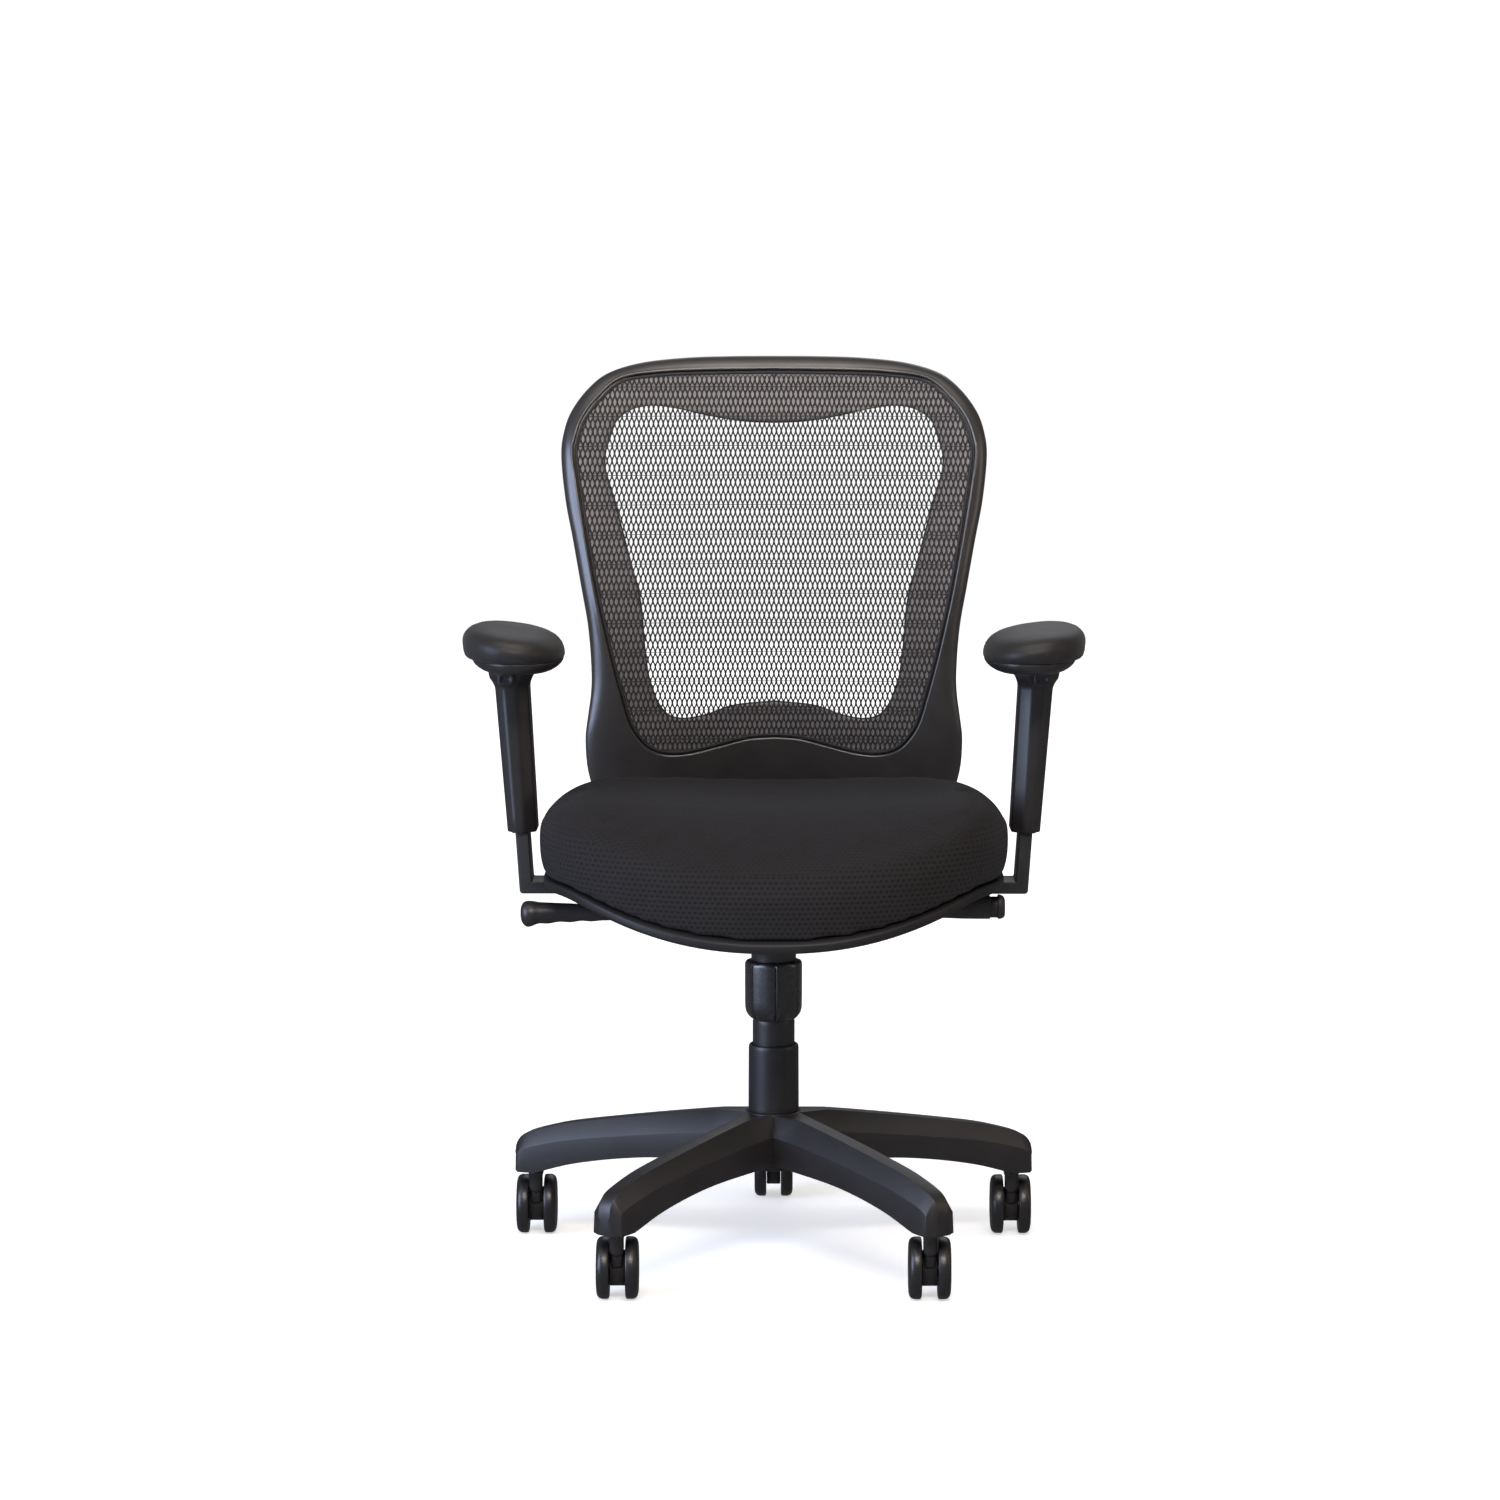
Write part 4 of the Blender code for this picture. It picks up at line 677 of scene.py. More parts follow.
OUTER = [(0, 0.4480), (0.0900, 0.4495), (0.1600, 0.4550), (0.1980, 0.4740), (0.2115, 0.5060), (0.2147, 0.5450), (0.2120, 0.5700), (0.2080, 0.6000),
         (0.2076, 0.6280), (0.2110, 0.6740), (0.2190, 0.7200), (0.2285, 0.7730), (0.2370, 0.8170), (0.2422, 0.8660), (0.2395, 0.8930), (0.2310, 0.9170),
         (0.2125, 0.9420), (0.1890, 0.9600), (0.1500, 0.9715), (0.1000, 0.9768), (0.0500, 0.9784), (0, 0.9787)]
MESH = [(0, 0.5487), (0.0300, 0.5464), (0.0600, 0.5387), (0.0950, 0.5300), (0.1210, 0.5285), (0.1400, 0.5345), (0.1520, 0.5455), (0.1637, 0.5651),
        (0.1745, 0.6020), (0.1837, 0.6375), (0.1930, 0.6780), (0.2010, 0.7156), (0.2118, 0.7750), (0.2213, 0.8334), (0.2262, 0.8680), (0.2250, 0.8840),
        (0.2170, 0.9080), (0.2016, 0.9290), (0.1746, 0.9520), (0.1303, 0.9592), (0.0800, 0.9614), (0, 0.9624)]
WINDOW = [(0, 0.5890), (0.0457, 0.5843), (0.0775, 0.5735), (0.1060, 0.5696), (0.1255, 0.5790), (0.1400, 0.6110), (0.1462, 0.6525), (0.1510, 0.7035),
          (0.1650, 0.7580), (0.1795, 0.8115), (0.1905, 0.8480), (0.1908, 0.8720), (0.1820, 0.9010), (0.1650, 0.9170), (0.1400, 0.9226), (0.1100, 0.9190),
          (0.0750, 0.9110), (0.0350, 0.9045), (0, 0.9029)]
MID_Z = 0.7450


def loop(points, n):
    """n points of a closed outline, mirrored about x = 0, at even directions about its middle."""
    half = curve_through(points, 10)
    full = half + [(-x, z) for x, z in reversed(half[1:-1])]
    polar = sorted((math.atan2(z - MID_Z, x) % (2 * math.pi), math.hypot(x, z - MID_Z)) for x, z in full)
    polar = [(polar[-1][0] - 2 * math.pi, polar[-1][1])] + polar + [(polar[0][0] + 2 * math.pi, polar[0][1])]
    out = []
    for k in range(n):
        t = 2 * math.pi * (k + 0.5) / n
        r = along(polar, t)
        out.append((r * math.cos(t), MID_Z + r * math.sin(t)))
    return out


def offset(points, d):
    """Move an outline outwards by d."""
    out = []
    n = len(points)
    for i, (x, z) in enumerate(points):
        (x0, z0), (x1, z1) = points[i - 1], points[(i + 1) % n]
        tx, tz = x1 - x0, z1 - z0
        m = math.hypot(tx, tz)
        out.append((x + d * tz / m, z - d * tx / m))
    return out


def on_back(points, dy):
    return [(x, back_y(x, z) + dy, z) for x, z in points]


def between(a, b, q):
    return [(x0 + (x1 - x0) * q, z0 + (z1 - z0) * q) for (x0, z0), (x1, z1) in zip(a, b)]


UP = [(0.0500, 0.3760), (0.0900, 0.3755), (0.1500, 0.3750), (0.2100, 0.3765), (0.2500, 0.3900), (0.2690, 0.4250), (0.2675, 0.4700), (0.2598, 0.5200), (0.2495, 0.5720)]


# ====================================================================== mesh helpers


def mesh_object(name, geo, mat, sharp=38.0, weld=1e-6, fix_normals=True):
    """A mesh from (verts, faces) drawn in the chair frame, shaded smooth up to `sharp` degrees."""
    verts, faces = geo
    bm = bmesh.new()
    made = [bm.verts.new((v[0], v[1] + Y_SHIFT, v[2])) for v in verts]
    for f in faces:
        if len(set(f)) > 2:
            try:
                bm.faces.new([made[i] for i in f])
            except ValueError:
                pass
    if weld:
        bmesh.ops.remove_doubles(bm, verts=bm.verts, dist=weld)
    if fix_normals:
        bmesh.ops.recalc_face_normals(bm, faces=bm.faces)
        if bm.calc_volume(signed=True) < 0:
            bmesh.ops.reverse_faces(bm, faces=bm.faces)
    me = bpy.data.meshes.new(name)
    bm.to_mesh(me)
    bm.free()
    me.shade_smooth()
    if sharp < 180:
        me.set_sharp_from_angle(angle=math.radians(sharp))
    me.materials.append(mat)
    o = bpy.data.objects.new(name, me)
    sc.collection.objects.link(o)
    return o


def apply_all(o, sharp=None):
    """Bake the modifiers of a new piece into its mesh."""
    dg = bpy.context.evaluated_depsgraph_get()
    me = bpy.data.meshes.new_from_object(o.evaluated_get(dg))
    old = o.data
    o.modifiers.clear()
    o.data = me
    bpy.data.meshes.remove(old)
    me.shade_smooth()
    if sharp:
        me.set_sharp_from_angle(angle=math.radians(sharp))
    return o


def rounded(o, width, segments=3, angle=28.0, sharp=40.0):
    m = o.modifiers.new("edge_radius", 'BEVEL')
    m.width, m.segments = width, segments
    m.limit_method = 'ANGLE'
    m.angle_limit = math.radians(angle)
    m.harden_normals = False
    m.use_clamp_overlap = True
    return apply_all(o, sharp)


def piece(o, body, *nodes, slot=None):
    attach(o, body)
    if nodes:
        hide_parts(*nodes)
    return o


def carry(node, mat, width=0.0, segments=2, angle=30.0, sharp=40.0):
    """A CAD node that stays: its finish, and its edges broken."""
    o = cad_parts[node]
    o.data.materials.clear()
    o.data.materials.append(mat)
    for p in o.data.polygons:
        p.use_smooth = True
    if width:
        w = o.modifiers.new("weld", 'WELD')
        w.merge_threshold = 0.00002
        b = o.modifiers.new("edges", 'BEVEL')
        b.width, b.segments = width, segments
        b.limit_method = 'ANGLE'
        b.angle_limit = math.radians(angle)
        b.use_clamp_overlap = True
        n = o.modifiers.new("shading", 'WEIGHTED_NORMAL')
        n.keep_sharp = True
    return o


def smooth_pairs(points, per=6):
    return curve_through(points, per)


def bent(pairs, t):
    """Smooth value from (position, value) pairs already made dense."""
    return along(pairs, t)


# ====================================================================== base
S_TOP, S_LOW = smooth_pairs(ARM_TOP), smooth_pairs(ARM_BOTTOM)
S_BASE, S_CHAM, S_RIDGE = smooth_pairs(ARM_BASE_W), smooth_pairs(ARM_CHAMFER), smooth_pairs(ARM_RIDGE_W)
CHANNEL = (0.066, 0.250)
WALL_T = 0.0036


def arm_section(s, angle, open_below):
    top, low = bent(S_TOP, s), bent(S_LOW, s)
    base, ridge, cham = bent(S_BASE, s), bent(S_RIDGE, s), bent(S_CHAM, s)
    mid = base - 0.0012
    inner = max(base - WALL_T, base * 0.4)
    if open_below:
        roof = top - 0.0052
        sho = min(top - cham - 0.0020, roof)
        under = [(inner, low), (inner - 0.0012, sho), (ridge * 0.75, roof), (-ridge * 0.75, roof), (-inner + 0.0012, sho), (-inner, low)]
    else:
        under = [(inner, low), (inner - 0.0012, low), (ridge * 0.75, low), (-ridge * 0.75, low), (-inner + 0.0012, low), (-inner, low)]
    sec = [(-base, low), (-mid, top - cham), (-ridge, top), (ridge, top), (mid, top - cham), (base, low)] + under
    ca, sa = math.cos(angle), math.sin(angle)
    return [(s * sa + w * ca, -s * ca + w * sa, z) for w, z in sec]


def star_fine():
    half = math.pi / ARM_COUNT
    n = ARM_COUNT

    def line(j, s):
        base_w, top, cham = bent(S_BASE, s), bent(S_TOP, s), bent(S_CHAM, s)
        return ((base_w, bent(S_LOW, s)), (base_w - 0.0012, top - cham), (bent(S_RIDGE, s), top))[j]

    verts, faces, meet = [], [], []
    for k in range(n):
        row = []
        for j in range(3):
            s = 0.03
            for _ in range(60):
                s = line(j, s)[0] / math.tan(half)
            w, z = line(j, s)
            ang = ARM_ANGLES[k] + half
            r = math.hypot(s, w)
            if j == 2:                                      # the ridges end against the hub ring
                r, z = 0.0299, 0.1603
            row.append(len(verts))
            verts.append((r * math.sin(ang), -r * math.cos(ang), z))
        meet.append(row)
    stops = [0.060, CHANNEL[0]] + [0.0665] + [0.076 + 0.010 * i for i in range(18)] + [0.2495, CHANNEL[1]] + [0.258, 0.266, 0.274, 0.281, 0.287, 0.2915, 0.2952, 0.2980, 0.3000, 0.3011, ARM_TIP]
    for k in range(n):
        m0, m1 = Vector(verts[meet[k][0]]), Vector(verts[meet[k - 1][0]])
        inner = []
        for q in (0.12, 0.16, 0.35, 0.65, 0.84, 0.88):
            inner.append(len(verts))
            verts.append(tuple(m0.lerp(m1, q)))
        lead = [meet[k - 1][0], meet[k - 1][1], meet[k - 1][2], meet[k][2], meet[k][1], meet[k][0]] + inner
        rows = [lead]
        for s in stops:
            ring = arm_section(s, ARM_ANGLES[k], CHANNEL[0] < s < CHANNEL[1])
            rows.append(list(range(len(verts), len(verts) + 12)))
            verts += ring
        for a, b in zip(rows, rows[1:]):
            for i in range(12):
                i2 = (i + 1) % 12
                faces.append((a[i], a[i2], b[i2], b[i]))
        faces.append(tuple(rows[-1]))
        meet[k].append(inner)
    # the middle is open for the gas column; the hub ring stands in the opening
    per = 8
    wall = []
    for r, z in ((0.0292, 0.1597), (0.0240, bent(S_LOW, 0.02))):
        wall.append(list(range(len(verts), len(verts) + n * per)))
        for i in range(n * per):
            t = ARM_ANGLES[0] - half + 2 * math.pi * i / (n * per)
            verts.append((r * math.sin(t), -r * math.cos(t), z))
    total = n * per

    def stitch(chain, arc):
        """Triangles between a chain of outer points and an arc of bore points."""
        i = j = 0
        while i < len(chain) - 1 or j < len(arc) - 1:
            if j == len(arc) - 1 or (i < len(chain) - 1 and (i + 1) / (len(chain) - 1) <= (j + 1) / (len(arc) - 1)):
                faces.append((chain[i], chain[i + 1], arc[j]))
                i += 1
            else:
                faces.append((chain[i], arc[j + 1], arc[j]))
                j += 1
    for k in range(n):
        arc = [(k * per + i) % total for i in range(per + 1)]
        stitch([meet[k - 1][2], meet[k][2]], [wall[0][i] for i in arc])
        stitch([meet[k - 1][0]] + list(reversed(meet[k][3])) + [meet[k][0]], [wall[1][i] for i in arc])
    return verts, faces


star = rounded(mesh_object("base_star_shell", star_fine(), NYLON, weld=0), 0.0034, 4, 24.0, 50.0)
ribs = [lathe([(0.0189, HUB_BOTTOM), (0.0296, HUB_BOTTOM), (0.0305, HUB_BOTTOM + 0.0010), (0.0306, 0.1500), (0.0308, 0.1592), (0.0303, 0.1606), (0.0292, 0.1612),
               (0.0284, 0.1608), (0.0284, 0.1592), (0.0189, 0.1592)], 96, ring=True)]
for k, a in enumerate(ARM_ANGLES):
    ca, sa = math.cos(a), math.sin(a)
    cuts = []
    for s in (0.092, 0.124, 0.156, 0.188, 0.220):
        for d in (-1, 1):                                   # crossed ribs in the channel under the arm
            top, cham, base = bent(S_TOP, s), bent(S_CHAM, s), bent(S_BASE, s)
            w, low = base - 0.0030, bent(S_LOW, s) + 0.0020
            t = 0.0009
            body = []
            for e in (-t, t):
                for ww, z in ((-w, low), (-w, top - cham - 0.0005), (-0.006, top - 0.004), (0.006, top - 0.004), (w, top - cham - 0.0005), (w, low)):
                    ss = s + e + d * ww * 0.62
                    body.append((ss * sa + ww * ca, -ss * ca + ww * sa, z))
            faces = [tuple(range(6)), tuple(range(6, 12))] + [(i, (i + 1) % 6, 6 + (i + 1) % 6, 6 + i) for i in range(6)]
            cuts.append((body, faces))
    ribs += cuts
    cx, cy = STEM_CIRCLE * sa, -STEM_CIRCLE * ca
    low = bent(S_LOW, STEM_CIRCLE)
    ribs.append(lathe([(0.0058, 0.1000), (0.0058, low - 0.0012), (0.0092, low - 0.0016), (0.0096, low - 0.0006), (0.0098, low + 0.010), (0.0058, low + 0.012)], 40, (cx, cy), ring=True))
rib_o = mesh_object("base_star_ribs", joined(*ribs), NYLON)
piece(star, "base", "base_star", slot="nylon")
piece(rib_o, "base", "base_star", slot="nylon")

# ====================================================================== casters
NWF = 72
for k, a in enumerate(ARM_ANGLES):
    cx, cy = STEM_CIRCLE * math.sin(a), -STEM_CIRCLE * math.cos(a)
    tag = k + 1
    ay = cy + TRAIL
    body = f"caster_{tag}"
    hr = CASTER_HUB_R
    hub = lathe([(0, -0.0080), (hr - 0.0008, -0.0080), (hr, -0.0072), (hr, 0.0072), (hr - 0.0008, 0.0080), (0, 0.0080)], 64, (ay, WHEEL_R), 'X', at=cx)
    neck = lathe([(0, 0.0500), (0.0030, 0.0502), (0.0055, 0.0511), (0.0069, 0.0526), (0.0075, 0.0548), (0.0076, 0.0700), (0.0083, 0.0712), (0.0086, 0.0722), (0.0086, 0.0740), (0.0080, 0.0746), (0, 0.0746)], 48, (cx, cy))
    web_rings = []
    for z, y0, y1, hw in ((0.0380, -0.0010, 0.0200, 0.0060), (0.0392, -0.0022, 0.0215, 0.0066), (0.0480, -0.0030, 0.0225, 0.0068), (0.0560, -0.0030, 0.0222, 0.0068),
                          (0.0615, -0.0026, 0.0200, 0.0067), (0.0648, -0.0020, 0.0165, 0.0062), (0.0656, -0.0012, 0.0150, 0.0052)):
        ring = []
        for i in range(28):
            t = 2 * math.pi * i / 28
            c, s = math.cos(t), math.sin(t)
            rad = (abs(c) ** 4 + abs(s) ** 4) ** -0.25
            ring.append((cx + hw * rad * c, cy + 0.5 * (y0 + y1) + 0.5 * (y1 - y0) * rad * s, z))
        web_rings.append(ring)
    ho = mesh_object(f"caster_{tag}_body_fine", joined(hub, neck, loft(web_rings)), NYLON, sharp=50)
    piece(ho, body, f"caster_{tag}_housing", slot="nylon")
    carry(f"caster_{tag}_stem", BRIGHT, 0.0)
    carry(f"caster_{tag}_axle", BRIGHT_X, 0.0)
    for sx, nm in ((-1, "left"), (1, "right")):
        w0, w1, r = WHEEL_IN, WHEEL_IN + WHEEL_T, WHEEL_R
        prof = [(0, w1 - 0.0014), (0.0034, w1 - 0.0014), (0.0034, w0 + 0.0022), (0.0100, w0 + 0.0022), (0.0104, w0 + 0.0004), (0.0180, w0 + 0.0004), (0.0186, w0), (r - 0.0026, w0), (r - 0.0008, w0 + 0.0006), (r, w0 + 0.0022),
                (r, w0 + 0.0055), (r - 0.0001, w1 - 0.0058), (r - 0.0008, w1 - 0.0036), (r - 0.0022, w1 - 0.0018), (r - 0.0042, w1 - 0.0007), (r - 0.0068, w1 - 0.0001), (r - 0.0096, w1),
                (r - 0.0102, w1 - 0.0005), (r - 0.0112, w1 - 0.0006), (r - 0.0118, w1 - 0.0001), (0.0105, w1 - 0.0002), (0.0100, w1 - 0.0010), (0.0088, w1 - 0.0011), (0.0083, w1 - 0.0003), (0.0050, w1), (0, w1)]
        geo = lathe(prof, NWF, (ay, WHEEL_R), 'X')
        geo = ([(cx + sx * x, y, z) for x, y, z in geo[0]], geo[1])
        w = mesh_object(f"caster_{tag}_tread_{nm}", geo, TYRE, sharp=42)
        piece(w, f"caster_{tag}_wheel_{nm}", f"caster_{tag}_wheel_{nm}", slot="tyre")

# ====================================================================== column and its covers


def sleeve_profile(r_out, r_in, z0, z1, lip=0.0006, r=0.0008):
    return [(r_in, z0), (r_out, z0), (r_out + lip, z0 + 0.002), (r_out + lip, z1 - 0.0040), (r_out + lip * 1.5, z1 - 0.0030), (r_out + lip * 1.5, z1 - r * 1.6), (r_out + lip * 1.0, z1 - r * 0.5), (r_out - r * 0.4, z1),
            (r_in + 0.0006, z1), (r_in, z1 - 0.0006)]


low_cover = mesh_object("cover_lower_fine", lathe([(0.0245, HUB_TOP + GAP), (0.0270, HUB_TOP + GAP), (0.0276, 0.1612), (0.0277, 0.1650), (0.0274, 0.2280), (0.02745, 0.2312), (0.0271, 0.2336), (0.0266, 0.2348), (0.0257, 0.2355), (0.0248, 0.2353), (0.0245, 0.2348)], 112, ring=True), NYLON, sharp=55)
piece(low_cover, "base", "column_cover_lower", slot="nylon")
mid_cover = mesh_object("cover_middle_fine", lathe([(0.0213, 0.2000), (0.0230, 0.2000), (0.0230, 0.2570), (0.02305, 0.2605), (0.0227, 0.2622), (0.0222, 0.2631), (0.0217, 0.2633), (0.0213, 0.2629)], 112, ring=True), NYLON, sharp=55)
piece(mid_cover, "cover_middle", "column_cover_middle", slot="nylon")
top_cover = mesh_object("cover_upper_fine", lathe([(0.0195, 0.2360), (0.0207, 0.2360), (0.0207, 0.3500), (0.0209, 0.3530), (0.0209, 0.3590), (0.0195, 0.3590)], 112, ring=True), NYLON, sharp=55)
piece(top_cover, "mechanism", "column_cover_upper", slot="nylon")
for node, mat in (("gas_outer_tube", COAT), ("gas_cylinder", COAT), ("guide_bushing", ACETAL), ("thrust_bearing", BRIGHT), ("piston_rod", BRIGHT), ("valve_pin", BRIGHT)):
    carry(node, mat, 0.0)

# ====================================================================== mechanism
carry("tilt_housing", COAT, 0.0011)
carry("seat_carrier", COAT, 0.0009)
carry("seat_pivot_pin", BRIGHT_X, 0.0)
carry("back_pivot_pin", BRIGHT_X, 0.0)
carry("tension_nut", BRIGHT, 0.0)

# the tension spring: a wire coil round the knob's bolt
SPRING_R, WIRE_R, TURNS = 0.0150, 0.0019, 4.0
Z_A, Z_B = HOUSE_Z0 + 0.0025 + WIRE_R + GAP, 0.3858
coil = []
for i in range(int(TURNS * 40) + 1):
    t = i / 40.0
    h = Z_A + (Z_B - Z_A) * min(1.0, max(0.0, (t - 0.4) / (TURNS - 0.8)))
    coil.append((SPRING_R * math.cos(2 * math.pi * t), KNOB_Y + SPRING_R * math.sin(2 * math.pi * t), h))
spring = mesh_object("tension_spring_fine", sweep(coil, WIRE_R, 12), SPRING, sharp=60)
piece(spring, "mechanism", "tension_spring", slot="spring_steel")
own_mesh(spring)

# collar of the housing round the knob's bolt, and the bolt heads of the housing and the carrier
bits = [lathe([(0.0062, 0.3423), (0.0228, 0.3423), (0.0240, 0.3434), (0.0244, 0.3560), (0.0262, 0.3590), (0.0290, 0.3603), (0.0062, 0.3603)], 84, (0, KNOB_Y), ring=True)]
for sx in (-1, 1):
    for y in (-0.075, 0.030, 0.085):
        head = lathe([(0, 0.0), (0.0052, 0.0), (0.0052, 0.0020), (0.0046, 0.0026), (0.0024, 0.0027), (0.0022, 0.0012), (0, 0.0012)], 24, (y, 0.3705), 'X')
        bits.append(([(sx * (HOUSE_X + x), yy, zz) for x, yy, zz in head[0]], head[1]))
collar = mesh_object("housing_collar_fine", joined(*bits), COAT, sharp=45)
piece(collar, "mechanism", slot="black_steel")

# tension knob: seven shallow facets parted by fine grooves, each groove ending in a small notch
KNOB_N, FACETS = 168, 7
SEAM0 = math.radians(-86)


def knob_geo():
    prof = [(0, 0.2786, 0.0), (0.0110, 0.2785, 0.0), (0.0165, 0.2783, 0.0), (0.0196, 0.2782, 0.1), (0.0222, 0.2787, 0.4), (0.0247, 0.2799, 0.8), (0.0266, 0.2814, 1.0), (0.0284, 0.2836, 1.0), (0.0297, 0.2861, 1.0),
            (0.0305, 0.2890, 1.0), (0.0309, 0.2925, 1.0), (0.0310, 0.3000, 1.0), (0.0311, 0.3150, 1.0), (0.0311, 0.3300, 1.0), (0.0311, 0.3370, 1.0), (0.0310, 0.3385, 0.9), (0.0305, 0.3402, 0.6), (0.0296, 0.3415, 0.3), (0.0285, 0.3420, 0.1), (0.0052, 0.3420, 0.0)]
    verts, faces, rows = [], [], []
    for r, z, cut in prof:
        if r == 0:
            rows.append([len(verts)])
            verts.append((0, KNOB_Y, z))
            continue
        rows.append(list(range(len(verts), len(verts) + KNOB_N)))
        for i in range(KNOB_N):
            t = SEAM0 + 2 * math.pi * i / KNOB_N
            d = ((i / KNOB_N * FACETS) % 1.0) - 0.5            # -0.5..0.5 across a facet, seams at the ends
            flat = 0.030 * math.cos(math.pi * d) ** 2
            seam = max(0.0, 1 - (0.5 - abs(d)) / 0.030) * 0.0011
            notch = 0.0
            if 0.2795 < z < 0.2866:
                notch = max(0.0, 1 - (0.5 - abs(d)) / 0.085) * 0.0022
            rr = r * (1 - flat * cut) - (seam + notch) * cut
            verts.append((rr * math.cos(t), KNOB_Y + rr * math.sin(t), z))
    for a, b in zip(rows, rows[1:]):
        for i in range(KNOB_N):
            i2 = (i + 1) % KNOB_N
            if len(a) == 1:
                faces.append((a[0], b[i], b[i2]))
            else:
                faces.append((a[i], b[i], b[i2], a[i2]))
    bolt = lathe([(0, 0.3405), (0.0050, 0.3405), (0.0050, 0.3977), (0.0042, 0.3985), (0, 0.3985)], 32, (0, KNOB_Y))
    faces.append(tuple(rows[-1]))
    return joined((verts, faces), bolt)


knob = mesh_object("tension_knob_fine", knob_geo(), NYLON_GLOSS, sharp=34)
piece(knob, "tension_knob", "tension_knob", slot="nylon")

# ====================================================================== levers
carry("height_lever_rod", COAT, 0.0)
GRIP_F = curve_through([(x, ry, rz, z) for x, ry, rz, z in GRIP], 6)


def grip_fine():
    rings = []
    for x, ry, rz, z in GRIP_F:
        yc = LEVER_Y + 0.0032 * max(0.0, min(1.0, (x + 0.195) / 0.03))
        wave = 0.0006 * math.sin((x + 0.274) * 2 * math.pi / 0.024) * max(0.0, min(1.0, (-0.180 - x) / 0.02)) * min(1.0, (x + 0.2740) / 0.008)
        ring = []
        for k in range(40):
            t = 2 * math.pi * k / 40
            c, s = math.cos(t), math.sin(t)
            dip = wave * max(0.0, -s) ** 1.5
            ring.append((x, yc + ry * c, z + (rz + dip) * s))
        rings.append(ring)
    return loft(rings)


grip_o = mesh_object("height_grip_fine", grip_fine(), NYLON, sharp=60)
piece(grip_o, "height_lever", "height_lever_grip", slot="nylon")

PADDLE = ((0.1560, 0.0080, 0.3830, 0.3965), (0.1650, 0.0094, 0.3825, 0.3982), (0.1750, 0.0105, 0.3820, 0.3995), (0.1900, 0.0116, 0.3815, 0.4012), (0.2040, 0.0125, 0.3810, 0.4030), (0.2200, 0.0128, 0.3808, 0.4046), (0.2330, 0.0130, 0.3808, 0.4060),
          (0.2338, 0.0128, 0.3811, 0.4056), (0.2342, 0.0117, 0.3822, 0.4045), (0.2418, 0.0117, 0.3822, 0.4045), (0.2422, 0.0132, 0.3811, 0.4063), (0.2430, 0.0135, 0.3808, 0.4068), (0.2455, 0.0132, 0.3810, 0.4065), (0.2478, 0.0125, 0.3817, 0.4055), (0.2493, 0.0108, 0.3830, 0.4038), (0.2500, 0.0082, 0.3848, 0.4015))


def paddle_fine():
    rings = []
    for x, w, z0, z1 in PADDLE:
        ring = []
        for k in range(48):
            t = 2 * math.pi * k / 48
            c, s = math.cos(t), math.sin(t)
            rad = (abs(c) ** 3.2 + abs(s) ** 3.2) ** (-1 / 3.2)
            ring.append((x, LEVER_Y + w * rad * c * (1 - 0.14 * max(0.0, s)), 0.5 * (z0 + z1) + 0.5 * (z1 - z0) * rad * s))
        rings.append(ring)
    path = curve_through(lrod, 10)
    return joined(loft(rings), sweep(path, 0.0037, 24))


pad_lever = mesh_object("tilt_lever_fine", paddle_fine(), NYLON, sharp=38)
piece(pad_lever, "tilt_lever", "tilt_lever", slot="nylon")

# ====================================================================== seat pan and cushion
NP_F = 144
angles_f = [2 * math.pi * (k + 0.5) / NP_F for k in range(NP_F)]


def skin_fine(levels, low_point, high_point):
    verts, faces, rows = [], [], []
    for lev in levels:
        rows.append(list(range(len(verts), len(verts) + NP_F)))
        verts += [lev(t) for t in angles_f]
    for a, b in zip(rows, rows[1:]):
        for k in range(NP_F):
            k2 = (k + 1) % NP_F
            faces.append((a[k], a[k2], b[k2], b[k]))
    fan(verts, faces, rows[0], low_point)
    fan(verts, faces, rows[-1], high_point)
    return verts, faces


pan_levels = [pan_level(q, 0) for q in (0.20, 0.42, 0.60, 0.76, 0.88, 0.955)] + \
    [pan_level(0.975, 0.0002), pan_level(0.987, 0.0008), pan_level(0.9945, 0.0020), pan_level(0.9985, 0.0038), pan_level(1.0, 0.0060), pan_level(1.0, 0.0098), pan_level(0.9990, 0.0111), pan_level(0.9965, 0.0118)] + \
    [pan_level(q, PAN_T) for q in (0.975, 0.90, 0.76, 0.58, 0.42)]
pan = mesh_object("seat_pan_fine", skin_fine(pan_levels, (0, SEAT_MID_Y, PAN_Z), (0, SEAT_MID_Y, PAN_Z + PAN_T)), NYLON_PAN, sharp=60)
piece(pan, "seat", "seat_pan", slot="nylon")

# the plastic shell's underside carries the usual ribs
under = []
for x in (-0.150, -0.115, 0.115, 0.150):
    y0, y1 = -0.130, 0.120
    z = PAN_Z - 0.0028
    under.append(box(x - 0.0011, x + 0.0011, y0, y1, z, PAN_Z + 0.004))
for y in (-0.1300, 0.1200):
    under.append(box(-0.1511, 0.1511, y - 0.0011, y + 0.0011, PAN_Z - 0.0024, PAN_Z + 0.004))
ribs_u = rounded(mesh_object("seat_pan_ribs", joined(*under), NYLON, weld=0), 0.0004, 2, 30.0)
piece(ribs_u, "seat", slot="nylon")

def soft_level(k, h, inset=0.0022):
    def g(t):
        x, y = pan_point(t, k - inset / SEAT_HALF)
        low = pan_low(*pan_point(t, min(k, 0.985))) + PAN_T + 0.0006
        xt, yt = pan_point(t, min(k, 0.90))
        high = cushion_top(xt, yt) - inset
        return x, y, low + (high - low) * h
    return g


